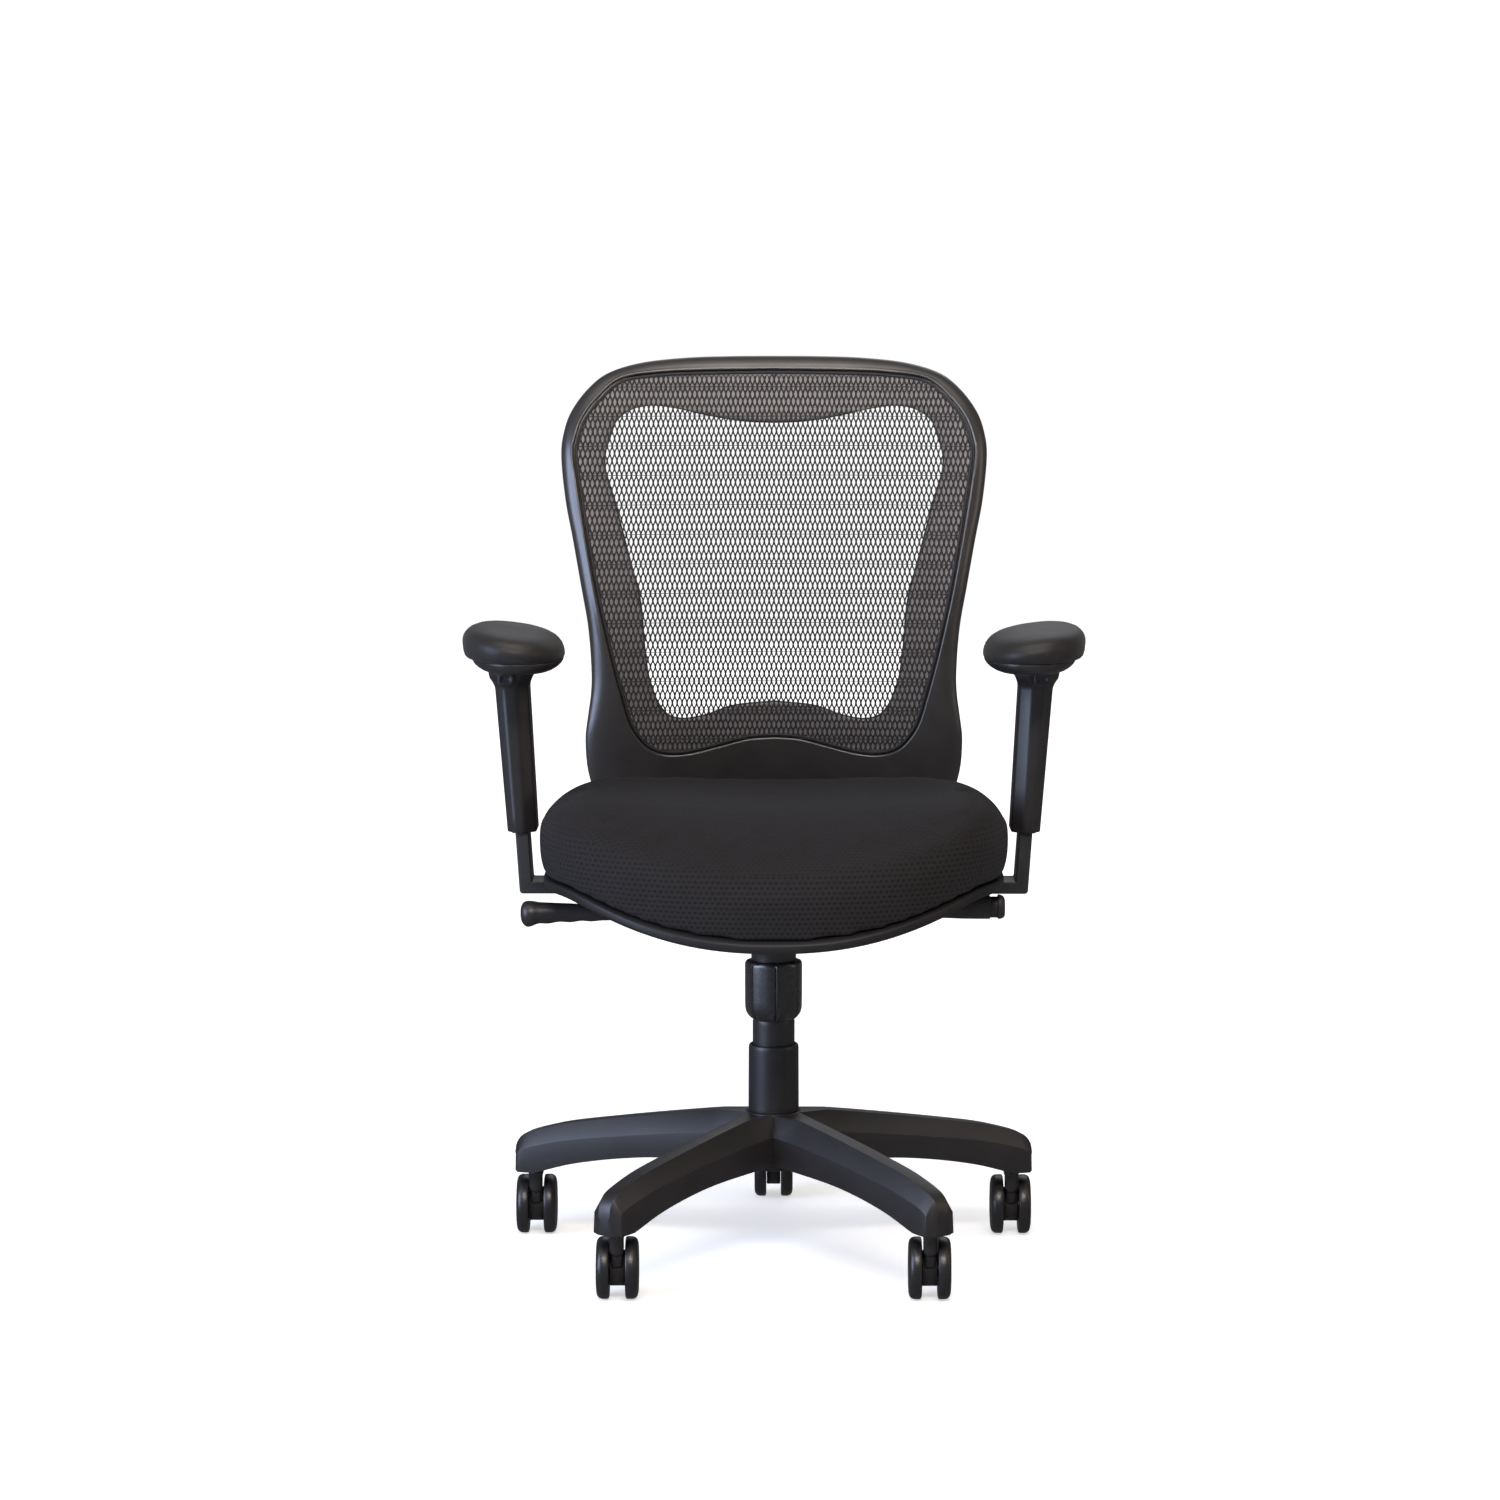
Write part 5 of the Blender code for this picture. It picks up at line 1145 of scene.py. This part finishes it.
BULGE_K = CUSHION_BULGE / SEAT_HALF
cushion_levels = [pan_level(q, PAN_T + 0.0006) for q in (0.30, 0.55, 0.76, 0.90, 0.975)] + \
    [soft_level(0.9975, 0.012, 0.0004), soft_level(1.003, 0.050, 0.0010), soft_level(1.007, 0.11, 0.0016), soft_level(BULGE_K - 0.006, 0.19), soft_level(BULGE_K - 0.002, 0.28), soft_level(BULGE_K, 0.42), soft_level(BULGE_K - 0.0015, 0.53), soft_level(BULGE_K - 0.005, 0.64),
     soft_level(1.003, 0.745), soft_level(0.990, 0.83), soft_level(0.968, 0.905), soft_level(0.935, 0.958), soft_level(0.880, 0.990), soft_level(0.80, 1.0), soft_level(0.66, 1.0), soft_level(0.50, 1.0), soft_level(0.34, 1.0), soft_level(0.18, 1.0)]
cushion = mesh_object("seat_cushion_soft", skin_fine(cushion_levels, (0, SEAT_MID_Y, PAN_Z + PAN_T + 0.0006), (0, SEAT_MID_Y, cushion_top(0, SEAT_MID_Y) - 0.0022)), CLOTH, sharp=180)

rm = cushion.modifiers.new("remesh", 'REMESH')
rm.mode = 'VOXEL'
rm.voxel_size = 0.0055
rm.use_smooth_shade = True
apply_all(cushion)
sm = cushion.modifiers.new("even", 'CORRECTIVE_SMOOTH')
sm.iterations = 4
sm.smooth_type = 'LENGTH_WEIGHTED'
sm.use_only_smooth = True
apply_all(cushion)
# the cover is drawn in along the pan's rim and fills out under the foam's pressure
rest = [v.co.copy() for v in cushion.data.vertices]
held = cushion.vertex_groups.new(name="held")
for v in cushion.data.vertices:
    x, y, z = v.co.x, v.co.y - Y_SHIFT, v.co.z
    above = z - (pan_low(x, y) + PAN_T)
    w = 1.0 if above < 0.0060 else max(0.0, 1.0 - (above - 0.0060) / 0.008)
    if w > 0:
        held.add([v.index], w, 'REPLACE')
cl = cushion.modifiers.new("fill", 'CLOTH')
st = cl.settings
st.quality = 5
st.mass = 0.25
st.tension_stiffness = st.compression_stiffness = 40
st.shear_stiffness = 20
st.bending_stiffness = 6
st.tension_damping = st.compression_damping = 12
st.air_damping = 6
st.use_pressure = True
st.uniform_pressure_force = 4.0
st.vertex_group_mass = "held"
st.effector_weights.gravity = 0.0
cl.collision_settings.use_collision = False
cl.collision_settings.use_self_collision = False
cl.point_cache.frame_start, cl.point_cache.frame_end = 1, 20
sc.frame_start, sc.frame_end = 1, 20
for f in range(1, 21):
    sc.frame_set(f)
apply_all(cushion)
cap = 0.0021
for v, r in zip(cushion.data.vertices, rest):
    d = v.co - r
    if d.length > cap:
        v.co = r + d * (cap / d.length)
sc.frame_set(1)
sub = cushion.modifiers.new("finer", 'SUBSURF')
sub.levels = sub.render_levels = 1
apply_all(cushion)
# slow unevenness and pull marks of stretched cloth over foam
out_dir = [n.vector.copy() for n in cushion.data.vertex_normals]
for v, nd in zip(cushion.data.vertices, out_dir):
    x, y, z = v.co.x, v.co.y - Y_SHIFT, v.co.z
    lift = max(0.0, min(1.0, (z - 0.447) / 0.02))
    n = noise.noise(Vector((x * 9.0, y * 9.0, z * 14.0))) * 0.0007 + noise.noise(Vector((x * 26.0, y * 26.0, z * 40.0))) * 0.00022
    v.co += nd * (n * lift)
cushion.data.update()
# nothing of the cover stands outside its own envelope
lo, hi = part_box("seat_cushion")
for v in cushion.data.vertices:
    v.co.x = min(max(v.co.x, lo.x), hi.x)
    v.co.y = min(max(v.co.y, lo.y), hi.y)
    v.co.z = min(max(v.co.z, lo.z), hi.z)
piece(cushion, "seat", "seat_cushion", slot="seat_fabric")

# ====================================================================== armrests
NA_F = 112


def ring_pad(k, z, tilt=0.0, k_len=None, dx=0.0, n=NA_F):
    out = []
    kl = k_len or k
    for i in range(n):
        t = 2 * math.pi * i / n
        c, s = math.cos(t), math.sin(t)
        rad = (abs(c) ** 2.35 + abs(s) ** 2.35) ** (-1 / 2.35)
        lx, ly = PAD_A * k * rad * c, PAD_B * kl * rad * s
        lx *= 1.0 - 0.10 * s
        x = -PAD_X + lx - 0.030 * ly + dx
        out.append((x, PAD_Y + ly, z - tilt * lx))
    return out


def stacked(rings, low_point, high_point):
    verts, faces, rows = [], [], []
    n = len(rings[0])
    for r in rings:
        rows.append(list(range(len(verts), len(verts) + n)))
        verts += r
    for a, b in zip(rows, rows[1:]):
        for k in range(n):
            k2 = (k + 1) % n
            faces.append((a[k], a[k2], b[k2], b[k]))
    fan(verts, faces, rows[0], low_point)
    fan(verts, faces, rows[-1], high_point)
    return verts, faces


PAD_LV = [(0.80, 0.0, 0.80), (0.93, 0.0, 0.955), (0.962, 0.0012, 0.972), (0.985, 0.0040, 0.988), (0.997, 0.0078, 0.997), (1.0, 0.0110, 1.0), (0.996, 0.0138, 0.996), (0.983, 0.0164, 0.985), (0.960, 0.0190, 0.968), (0.925, 0.0215, 0.943),
          (0.88, 0.0237, 0.912), (0.80, 0.0258, 0.850), (0.70, 0.0271, 0.765), (0.56, 0.0280, 0.64), (0.42, 0.0284, 0.49), (0.26, 0.0285, 0.31), (0.12, 0.02855, 0.14)]


def pad_fine():
    z0, tilt = 0.6622, 0.13
    rings = [ring_pad(k, z0 + h, tilt * min(1.0, 0.25 + 75 * h) if h > 0.0005 else 0.03, kl) for k, h, kl in PAD_LV]
    return stacked(rings, (-PAD_X, PAD_Y, z0), (-PAD_X, PAD_Y, z0 + 0.0286))


def plate_fine():
    z0, z1 = 0.6490, 0.6618
    lv = [(0.30, z0, 0.36), (0.58, z0, 0.74), (0.66, z0 + 0.0004, 0.84), (0.725, z0 + 0.0018, 0.885), (0.80, z0 + 0.0044, 0.918), (0.855, z0 + 0.0072, 0.935), (0.885, z0 + 0.0098, 0.943), (0.895, z1 - 0.0014, 0.945), (0.892, z1 - 0.0004, 0.943), (0.884, z1, 0.938), (0.40, z1, 0.40)]
    rings = [ring_pad(k, z, 0.03 if z == z1 else 0.0, kl, 0.0045) for k, z, kl in lv]
    return stacked(rings, (-PAD_X, PAD_Y, z0), (-PAD_X, PAD_Y, z1))


def sleeve_fine():
    def ring(z, grow=0.0, zz=None):
        q = (z - SLEEVE_Z0) / (SLEEVE_Z1 - SLEEVE_Z0)
        xo = bar_x(z) - 0.0085 - 0.0022 * q - grow
        xi = bar_x(z) + BAR_T + 0.0096 + 0.0025 * q + grow
        co, ci, cy = 0.0088 + 0.0012 * q, 0.0128 - 0.0005 * q, 0.0105
        y0, y1 = BAR_Y0 - 0.0075 - grow, BAR_Y1 + 0.0075 + grow
        pts = [(xo, y0 + cy), (xo + co, y0), (xi - ci, y0), (xi, y0 + cy), (xi, y1 - cy), (xi - ci, y1), (xo + co, y1), (xo, y1 - cy)]
        out = []
        n = len(pts)
        for i, p in enumerate(pts):                       # every corner of the section is a small arc
            a, b = Vector(pts[i - 1]), Vector(pts[(i + 1) % n])
            p = Vector(p)
            da, db = (a - p), (b - p)
            la, lb = min(0.0030, da.length * 0.45), min(0.0030, db.length * 0.45)
            s, e = p + da.normalized() * la, p + db.normalized() * lb
            for t in (0.0, 0.25, 0.5, 0.75, 1.0):
                q2 = s * (1 - t) ** 2 + p * (2 * t * (1 - t)) + e * t ** 2
                out.append((q2.x, q2.y, z if zz is None else zz))
        return out
    rings = [ring(SLEEVE_Z0, -0.0016), ring(SLEEVE_Z0 + 0.0004, -0.0006), ring(SLEEVE_Z0 + 0.0014, 0.0)]
    rings += [ring(SLEEVE_Z0 + 0.0014 + (0.6230 - SLEEVE_Z0 - 0.0014) * i / 10) for i in range(1, 11)]
    rings += [ring(0.6262, 0.0004), ring(0.6290, 0.0013), ring(0.6320, 0.0026), ring(0.6350, 0.0044), ring(0.6360, 0.0054, 0.6385), ring(0.6360, 0.0060, 0.6425), ring(0.6360, 0.0062, 0.6470), ring(0.6360, 0.0056, 0.6483), ring(0.6360, 0.0048, 0.6487)]
    return loft(rings)


def sleeve_collar():
    """Mouth of the sleeve: a lip round the bar, proud of the lower end."""
    rings = []
    for z, g in ((SLEEVE_Z0 - 0.0006, 0.0006), (SLEEVE_Z0 - 0.0006, 0.0030), (SLEEVE_Z0 + 0.0020, 0.0034), (SLEEVE_Z0 + 0.0020, 0.0006)):
        rings.append([(bar_x(z) - g, BAR_Y0 - g, z), (bar_x(z) + BAR_T + g, BAR_Y0 - g, z), (bar_x(z) + BAR_T + g, BAR_Y1 + g, z), (bar_x(z) - g, BAR_Y1 + g, z)])
    v, f = loft(rings, False)
    n = 4
    for k in range(n):
        f.append((k, (k + 1) % n, 3 * n + (k + 1) % n, 3 * n + k))
    return v, f


def button_fine():
    """Squeeze button: an arc-shaped face with a shallow finger slot."""
    yf, yb = BAR_Y0 - 0.0158, BAR_Y0 - 0.0062
    rings = []
    cx0, cz0 = -0.2915, 0.6360
    for y, k in ((yb, 0.94), (yf + 0.0016, 1.0), (yf + 0.0005, 0.965), (yf, 0.90), (yf, 0.62), (yf + 0.0009, 0.54), (yf + 0.0010, 0.20)):
        ring = []
        for i in range(48):
            t = 2 * math.pi * i / 48
            c, s = math.cos(t), math.sin(t)
            rad = (abs(c) ** 3.0 + abs(s) ** 3.0) ** (-1 / 3.0)
            lx, lz = 0.0091 * k * rad * c, 0.0079 * k * rad * s
            if 0.5 < k < 0.6 or k < 0.3:
                lz *= 0.55
            bow = -0.10 * (lx / 0.0091) ** 2 * 0.0079 * (1.0 if s > 0 else 0.4)
            ring.append((cx0 + lx, y, cz0 + lz + bow))
        rings.append(ring)
    return loft(rings)


for side, tag in ((-1, "left"), (1, "right")):
    bar = rounded(mesh_object(f"arm_bar_{tag}", flip(l_bar(), side), COAT), 0.0024, 4, 12.0, 40.0)
    bolts = []
    for x in (0.118, 0.148, 0.178):
        for y in (0.031, 0.059):
            z = BAR_OUT_Z
            g = lathe([(0, z - 0.0038), (0.0026, z - 0.0038), (0.0030, z - 0.0018), (0.0036, z - 0.0018), (0.0038, z - 0.0036), (0.0056, z - 0.0034), (0.0064, z - 0.0022), (0.0066, z + 0.0006), (0, z + 0.0006)], 30, (side * x, y))
            bolts.append(g)
    bolt_o = mesh_object(f"arm_bolts_{tag}", joined(*bolts), COAT, sharp=40)
    piece(bar, "seat", f"arm_bracket_{tag}", slot="black_steel")
    piece(bolt_o, "seat", slot="black_steel")
    slv = mesh_object(f"arm_sleeve_fine_{tag}", flip(sleeve_fine(), side), NYLON, sharp=60)
    lip = rounded(mesh_object(f"arm_sleeve_lip_{tag}", flip(sleeve_collar(), side), NYLON), 0.0007, 2, 30.0)
    piece(slv, f"arm_{tag}", f"arm_sleeve_{tag}", slot="nylon")
    piece(lip, f"arm_{tag}", f"arm_sleeve_{tag}", slot="nylon")
    plate = mesh_object(f"arm_plate_fine_{tag}", flip(plate_fine(), side), NYLON, sharp=55)
    piece(plate, f"arm_{tag}", f"arm_pad_plate_{tag}", slot="nylon")
    pad = mesh_object(f"arm_pad_fine_{tag}", flip(pad_fine(), side), PAD, sharp=65)
    for v in pad.data.vertices:
        n = noise.noise(Vector((v.co.x * 22.0, v.co.y * 22.0, v.co.z * 22.0)))
        v.co.z += 0.00035 * n * max(0.0, min(1.0, (v.co.z - 0.676) / 0.01))
    piece(pad, f"arm_{tag}", f"arm_pad_{tag}", slot="pu_pad")
    but = mesh_object(f"arm_button_fine_{tag}", flip(button_fine(), side), NYLON_DARK, sharp=55)
    piece(but, f"arm_button_{tag}", f"arm_button_{tag}", slot="nylon_dark")

# ====================================================================== back
NB_F = 288
outer_f, knit_f, window_f = loop(OUTER, NB_F), loop(MESH, NB_F), loop(WINDOW, NB_F)


def frame_fine():
    rim = offset(knit_f, 0.0016)
    rings = [on_back(between(window_f, knit_f, 0.012), 0.0046), on_back(between(window_f, knit_f, 0.035), 0.0034), on_back(between(window_f, knit_f, 0.08), 0.0030),
             on_back(between(window_f, knit_f, 0.30), 0.0030), on_back(between(window_f, knit_f, 0.60), 0.0030), on_back(between(window_f, knit_f, 0.90), 0.0030),
             on_back(offset(knit_f, -0.0008), 0.0034), on_back(offset(knit_f, -0.0002), 0.0046), on_back(offset(knit_f, 0.0010), 0.0046),
             on_back(offset(knit_f, 0.0014), 0.0030), on_back(offset(knit_f, 0.0015), 0.0004), on_back(offset(knit_f, 0.0019), -0.0006), on_back(offset(knit_f, 0.0028), -0.0011), on_back(offset(knit_f, 0.0040), -0.0010),
             on_back(between(rim, outer_f, 0.22), 0.0000), on_back(between(rim, outer_f, 0.35), 0.0011), on_back(between(rim, outer_f, 0.50), 0.0028), on_back(between(rim, outer_f, 0.64), 0.0047),
             on_back(between(rim, outer_f, 0.76), 0.0068), on_back(between(rim, outer_f, 0.86), 0.0090), on_back(between(rim, outer_f, 0.93), 0.0112), on_back(between(rim, outer_f, 0.975), 0.0132),
             on_back(outer_f, 0.0156), on_back(between(rim, outer_f, 0.992), 0.0178), on_back(between(rim, outer_f, 0.965), 0.0196), on_back(between(rim, outer_f, 0.90), 0.0209), on_back(between(rim, outer_f, 0.75), 0.0214),
             on_back(between(rim, outer_f, 0.45), 0.0215), on_back(between(window_f, knit_f, 0.85), 0.0205), on_back(between(window_f, knit_f, 0.55), 0.0180), on_back(between(window_f, knit_f, 0.25), 0.0146),
             on_back(between(window_f, knit_f, 0.06), 0.0124), on_back(between(window_f, knit_f, 0.012), 0.0116), on_back(window_f, 0.0106), on_back(window_f, 0.0060)]
    n = NB_F
    verts = [p for r in rings for p in r]
    faces = []
    for i in range(len(rings)):
        j = (i + 1) % len(rings)
        for k in range(n):
            k2 = (k + 1) % n
            faces.append((i * n + k, i * n + k2, j * n + k2, j * n + k))
    return verts, faces


back_shell = mesh_object("back_frame_fine", frame_fine(), NYLON_SHELL_WITH_PAINTED_REFLECTION, weld=0, sharp=50)
# the recess faces behind the knit take the paler material: painted light on the frame's own nylon
back_shell.data.materials.append(NYLON_RECESS_PAINTED_LIGHT)
for i, poly in enumerate(back_shell.data.polygons):
    if 1 <= i // NB_F <= 6:
        poly.material_index = 1
piece(back_shell, "back", "back_frame", slot="nylon")

# ---- the knit: one connected net of yarns with staggered lens-shaped openings
PX, PZ = 0.0055, 0.0083
HALF_T = 0.00085
MID_DY = 0.00125


def inside_outline(points):
    polar = sorted((math.atan2(z - MID_Z, x) % (2 * math.pi), math.hypot(x, z - MID_Z)) for x, z in points)
    polar = [(polar[-1][0] - 2 * math.pi, polar[-1][1])] + polar + [(polar[0][0] + 2 * math.pi, polar[0][1])]
    table = [along(polar, 2 * math.pi * k / 1440) for k in range(1441)]

    def reach(x, z):
        t = (math.atan2(z - MID_Z, x) % (2 * math.pi)) / (2 * math.pi) * 1440
        k = min(int(t), 1439)
        return table[k] + (table[k + 1] - table[k]) * (t - k)
    return reach


knit_edge = offset(knit_f, -0.0006)
reach = inside_outline(knit_edge)
y_table = [along(BACK_SMOOTH, 0.44 + 0.0005 * k) for k in range(1120)]


def surf_y(x, z):
    t = (z - 0.44) / 0.0005
    k = min(max(int(t), 0), 1118)
    return y_table[k] + (y_table[k + 1] - y_table[k]) * (t - k) - WRAP * (abs(x) / 0.24) ** 2.2


def held_in(x, z):
    r = math.hypot(x, z - MID_Z)
    m = reach(x, z)
    if r > m:
        q = m / r
        return x * q, MID_Z + (z - MID_Z) * q
    return x, z


HEX = [(0.0, 2 / 3), (0.25, 0.5), (0.5, 1 / 3), (0.5, 0.0), (0.5, -1 / 3), (0.25, -0.5), (0.0, -2 / 3), (-0.25, -0.5), (-0.5, -1 / 3), (-0.5, 0.0), (-0.5, 1 / 3), (-0.25, 0.5)]
EYE = [(0.0, 0.00475), (0.00072, 0.00370), (0.00118, 0.00270), (0.00180, 0.0), (0.00118, -0.00270), (0.00072, -0.00370), (0.0, -0.00475), (-0.00072, -0.00370), (-0.00118, -0.00270), (-0.00180, 0.0), (-0.00118, 0.00270), (-0.00072, 0.00370)]


def lattice():
    verts, faces = [], []
    crown = {}
    edges = {}

    def crown_pair(x, z):
        key = (round(x * 1e6 / 5), round(z * 1e6 / 5))
        if key not in crown:
            hx, hz = held_in(x, z)
            y = surf_y(hx, hz) + MID_DY
            crown[key] = (len(verts), len(verts) + 1)
            verts.append((hx, y - HALF_T, hz))
            verts.append((hx, y + HALF_T, hz))
        return crown[key]

    rows = int(0.26 / PZ) + 1
    cols = int(0.24 / PX) + 1
    for j in range(-rows, rows + 1):
        for i in range(-cols, cols + 1):
            cx, cz = PX * (i + 0.5 * (j % 2)), MID_Z + PZ * j
            if math.hypot(cx, cz - MID_Z) > reach(cx, cz) - 0.0010:
                continue
            ring = [crown_pair(cx + PX * a, cz + PZ * b) for a, b in HEX]
            inner = []
            for a, b in EYE:
                x, z = held_in(cx + a, cz + b)
                inner.append(len(verts))
                verts.append((x, surf_y(x, z) + MID_DY, z))
            n = 12
            for k in range(n):
                k2 = (k + 1) % n
                faces.append((ring[k][0], ring[k2][0], inner[k2], inner[k]))
                faces.append((ring[k2][1], ring[k][1], inner[k], inner[k2]))
                e = (ring[k], ring[k2])
                back = (ring[k2], ring[k])
                if back in edges:
                    del edges[back]
                else:
                    edges[e] = True
    for (a, b) in edges:                                   # outer boundary of the net
        faces.append((a[1], b[1], b[0], a[0]))
    return verts, faces


def bead(line, ry, rz, dy=0.0, closed=False, sides=6):
    """A yarn or hem of oval section laid on the back surface along (x, z) points."""
    verts, faces = [], []
    n = len(line)
    for i, (x, z) in enumerate(line):
        a = line[(i - 1) % n] if closed or i > 0 else line[0]
        b = line[(i + 1) % n] if closed or i < n - 1 else line[-1]
        tx, tz = b[0] - a[0], b[1] - a[1]
        m = math.hypot(tx, tz) or 1.0
        nx, nz = -tz / m, tx / m
        for k in range(sides):
            t = 2 * math.pi * k / sides
            d, e = math.cos(t) * rz, math.sin(t) * ry
            px, pz = x + nx * d, z + nz * d
            verts.append((px, surf_y(px, pz) + MID_DY + dy + e, pz))
    for i in range(n if closed else n - 1):
        j = (i + 1) % n
        for k in range(sides):
            k2 = (k + 1) % sides
            faces.append((i * sides + k, i * sides + k2, j * sides + k2, j * sides + k))
    if not closed:
        faces.append(tuple(range(sides)))
        faces.append(tuple((n - 1) * sides + k for k in range(sides)))
    return verts, faces


net = [lattice()]
for j in range(-28, 29):
    if j % 4:
        continue
    z = MID_Z + PZ * j
    xs = [x * 0.0001 for x in range(0, 2400, 5) if math.hypot(x * 0.0001, z - MID_Z) < reach(x * 0.0001, z) - 0.0012]
    if not xs or xs[-1] < 0.02:
        continue
    half = xs[-1]
    steps = max(4, int(2 * half / 0.0110))
    start = 0.0
    line = [(-half + 2 * half * k / steps, z) for k in range(steps + 1)]
    if z < 0.556 or z > 0.955:
        line = [p for p in line if math.hypot(p[0], p[1] - MID_Z) < reach(*p) - 0.001]
    if len(line) > 3:
        net.append(bead(line, 0.00045, 0.00045, -0.0002, sides=5))
hem_line = loop(MESH, 220)
net.append(bead(offset(hem_line, -0.0018), 0.0010, 0.0016, 0.0, True, 6))
netting = mesh_object("back_knit_net", joined(*net), YARN, weld=0, sharp=180, fix_normals=False)
piece(netting, "back", "mesh_panel", slot="mesh_knit")

# ---- the bar behind: rounded flat section, wider where it meets the frame, with a screwed foot
def upright_fine():
    path = curve_through(UP, 8)
    rings = []
    total = len(path) - 1
    for i, (y, z) in enumerate(path):
        (ya, za), (yb, zb) = path[max(i - 1, 0)], path[min(i + 1, total)]
        m = math.hypot(yb - ya, zb - za)
        ty, tz = (yb - ya) / m, (zb - za) / m
        ny, nz = -tz, ty
        q = i / total
        hw = 0.0300 + 0.0080 * max(0.0, (q - 0.6) / 0.4)
        th = 0.0065
        e = min(1.0, (1.0 - q) / 0.035)
        hw *= 0.80 + 0.20 * math.sqrt(max(0.0, 1 - (1 - e) ** 2)) if e < 1 else 1.0
        ring = []
        for k in range(40):
            t = 2 * math.pi * k / 40
            c, s = math.cos(t), math.sin(t)
            rad = (abs(c) ** 6 + abs(s) ** 6) ** (-1 / 6)
            w, d = hw * rad * c, th * rad * s * (0.94 + 0.06 * abs(c))
            ring.append((w, y + ny * d, z + nz * d))
        rings.append(ring)
    rings = [r for r in rings]
    return loft(rings)


up_parts = [upright_fine(), box(-0.0560, 0.0560, 0.0375, 0.0560, 0.3690, 0.3830)]
for z in (0.505, 0.550):
    for x in (-0.018, 0.018):
        yy = along([(q[1], q[0]) for q in curve_through(UP[6:], 8)], z) + 0.0062
        prof = [(0, 0.0000), (0.0022, 0.0000), (0.0026, 0.0014), (0.0046, 0.0016), (0.0054, 0.0006), (0.0056, -0.0020), (0, -0.0020)]
        v, f = lathe(prof, 28)
        up_parts.append(([(x + a, yy + c, z + b) for a, b, c in v], f))
up_o = mesh_object("back_bar_fine", joined(*up_parts), NYLON, sharp=48)
piece(up_o, "back", "back_upright", slot="nylon")
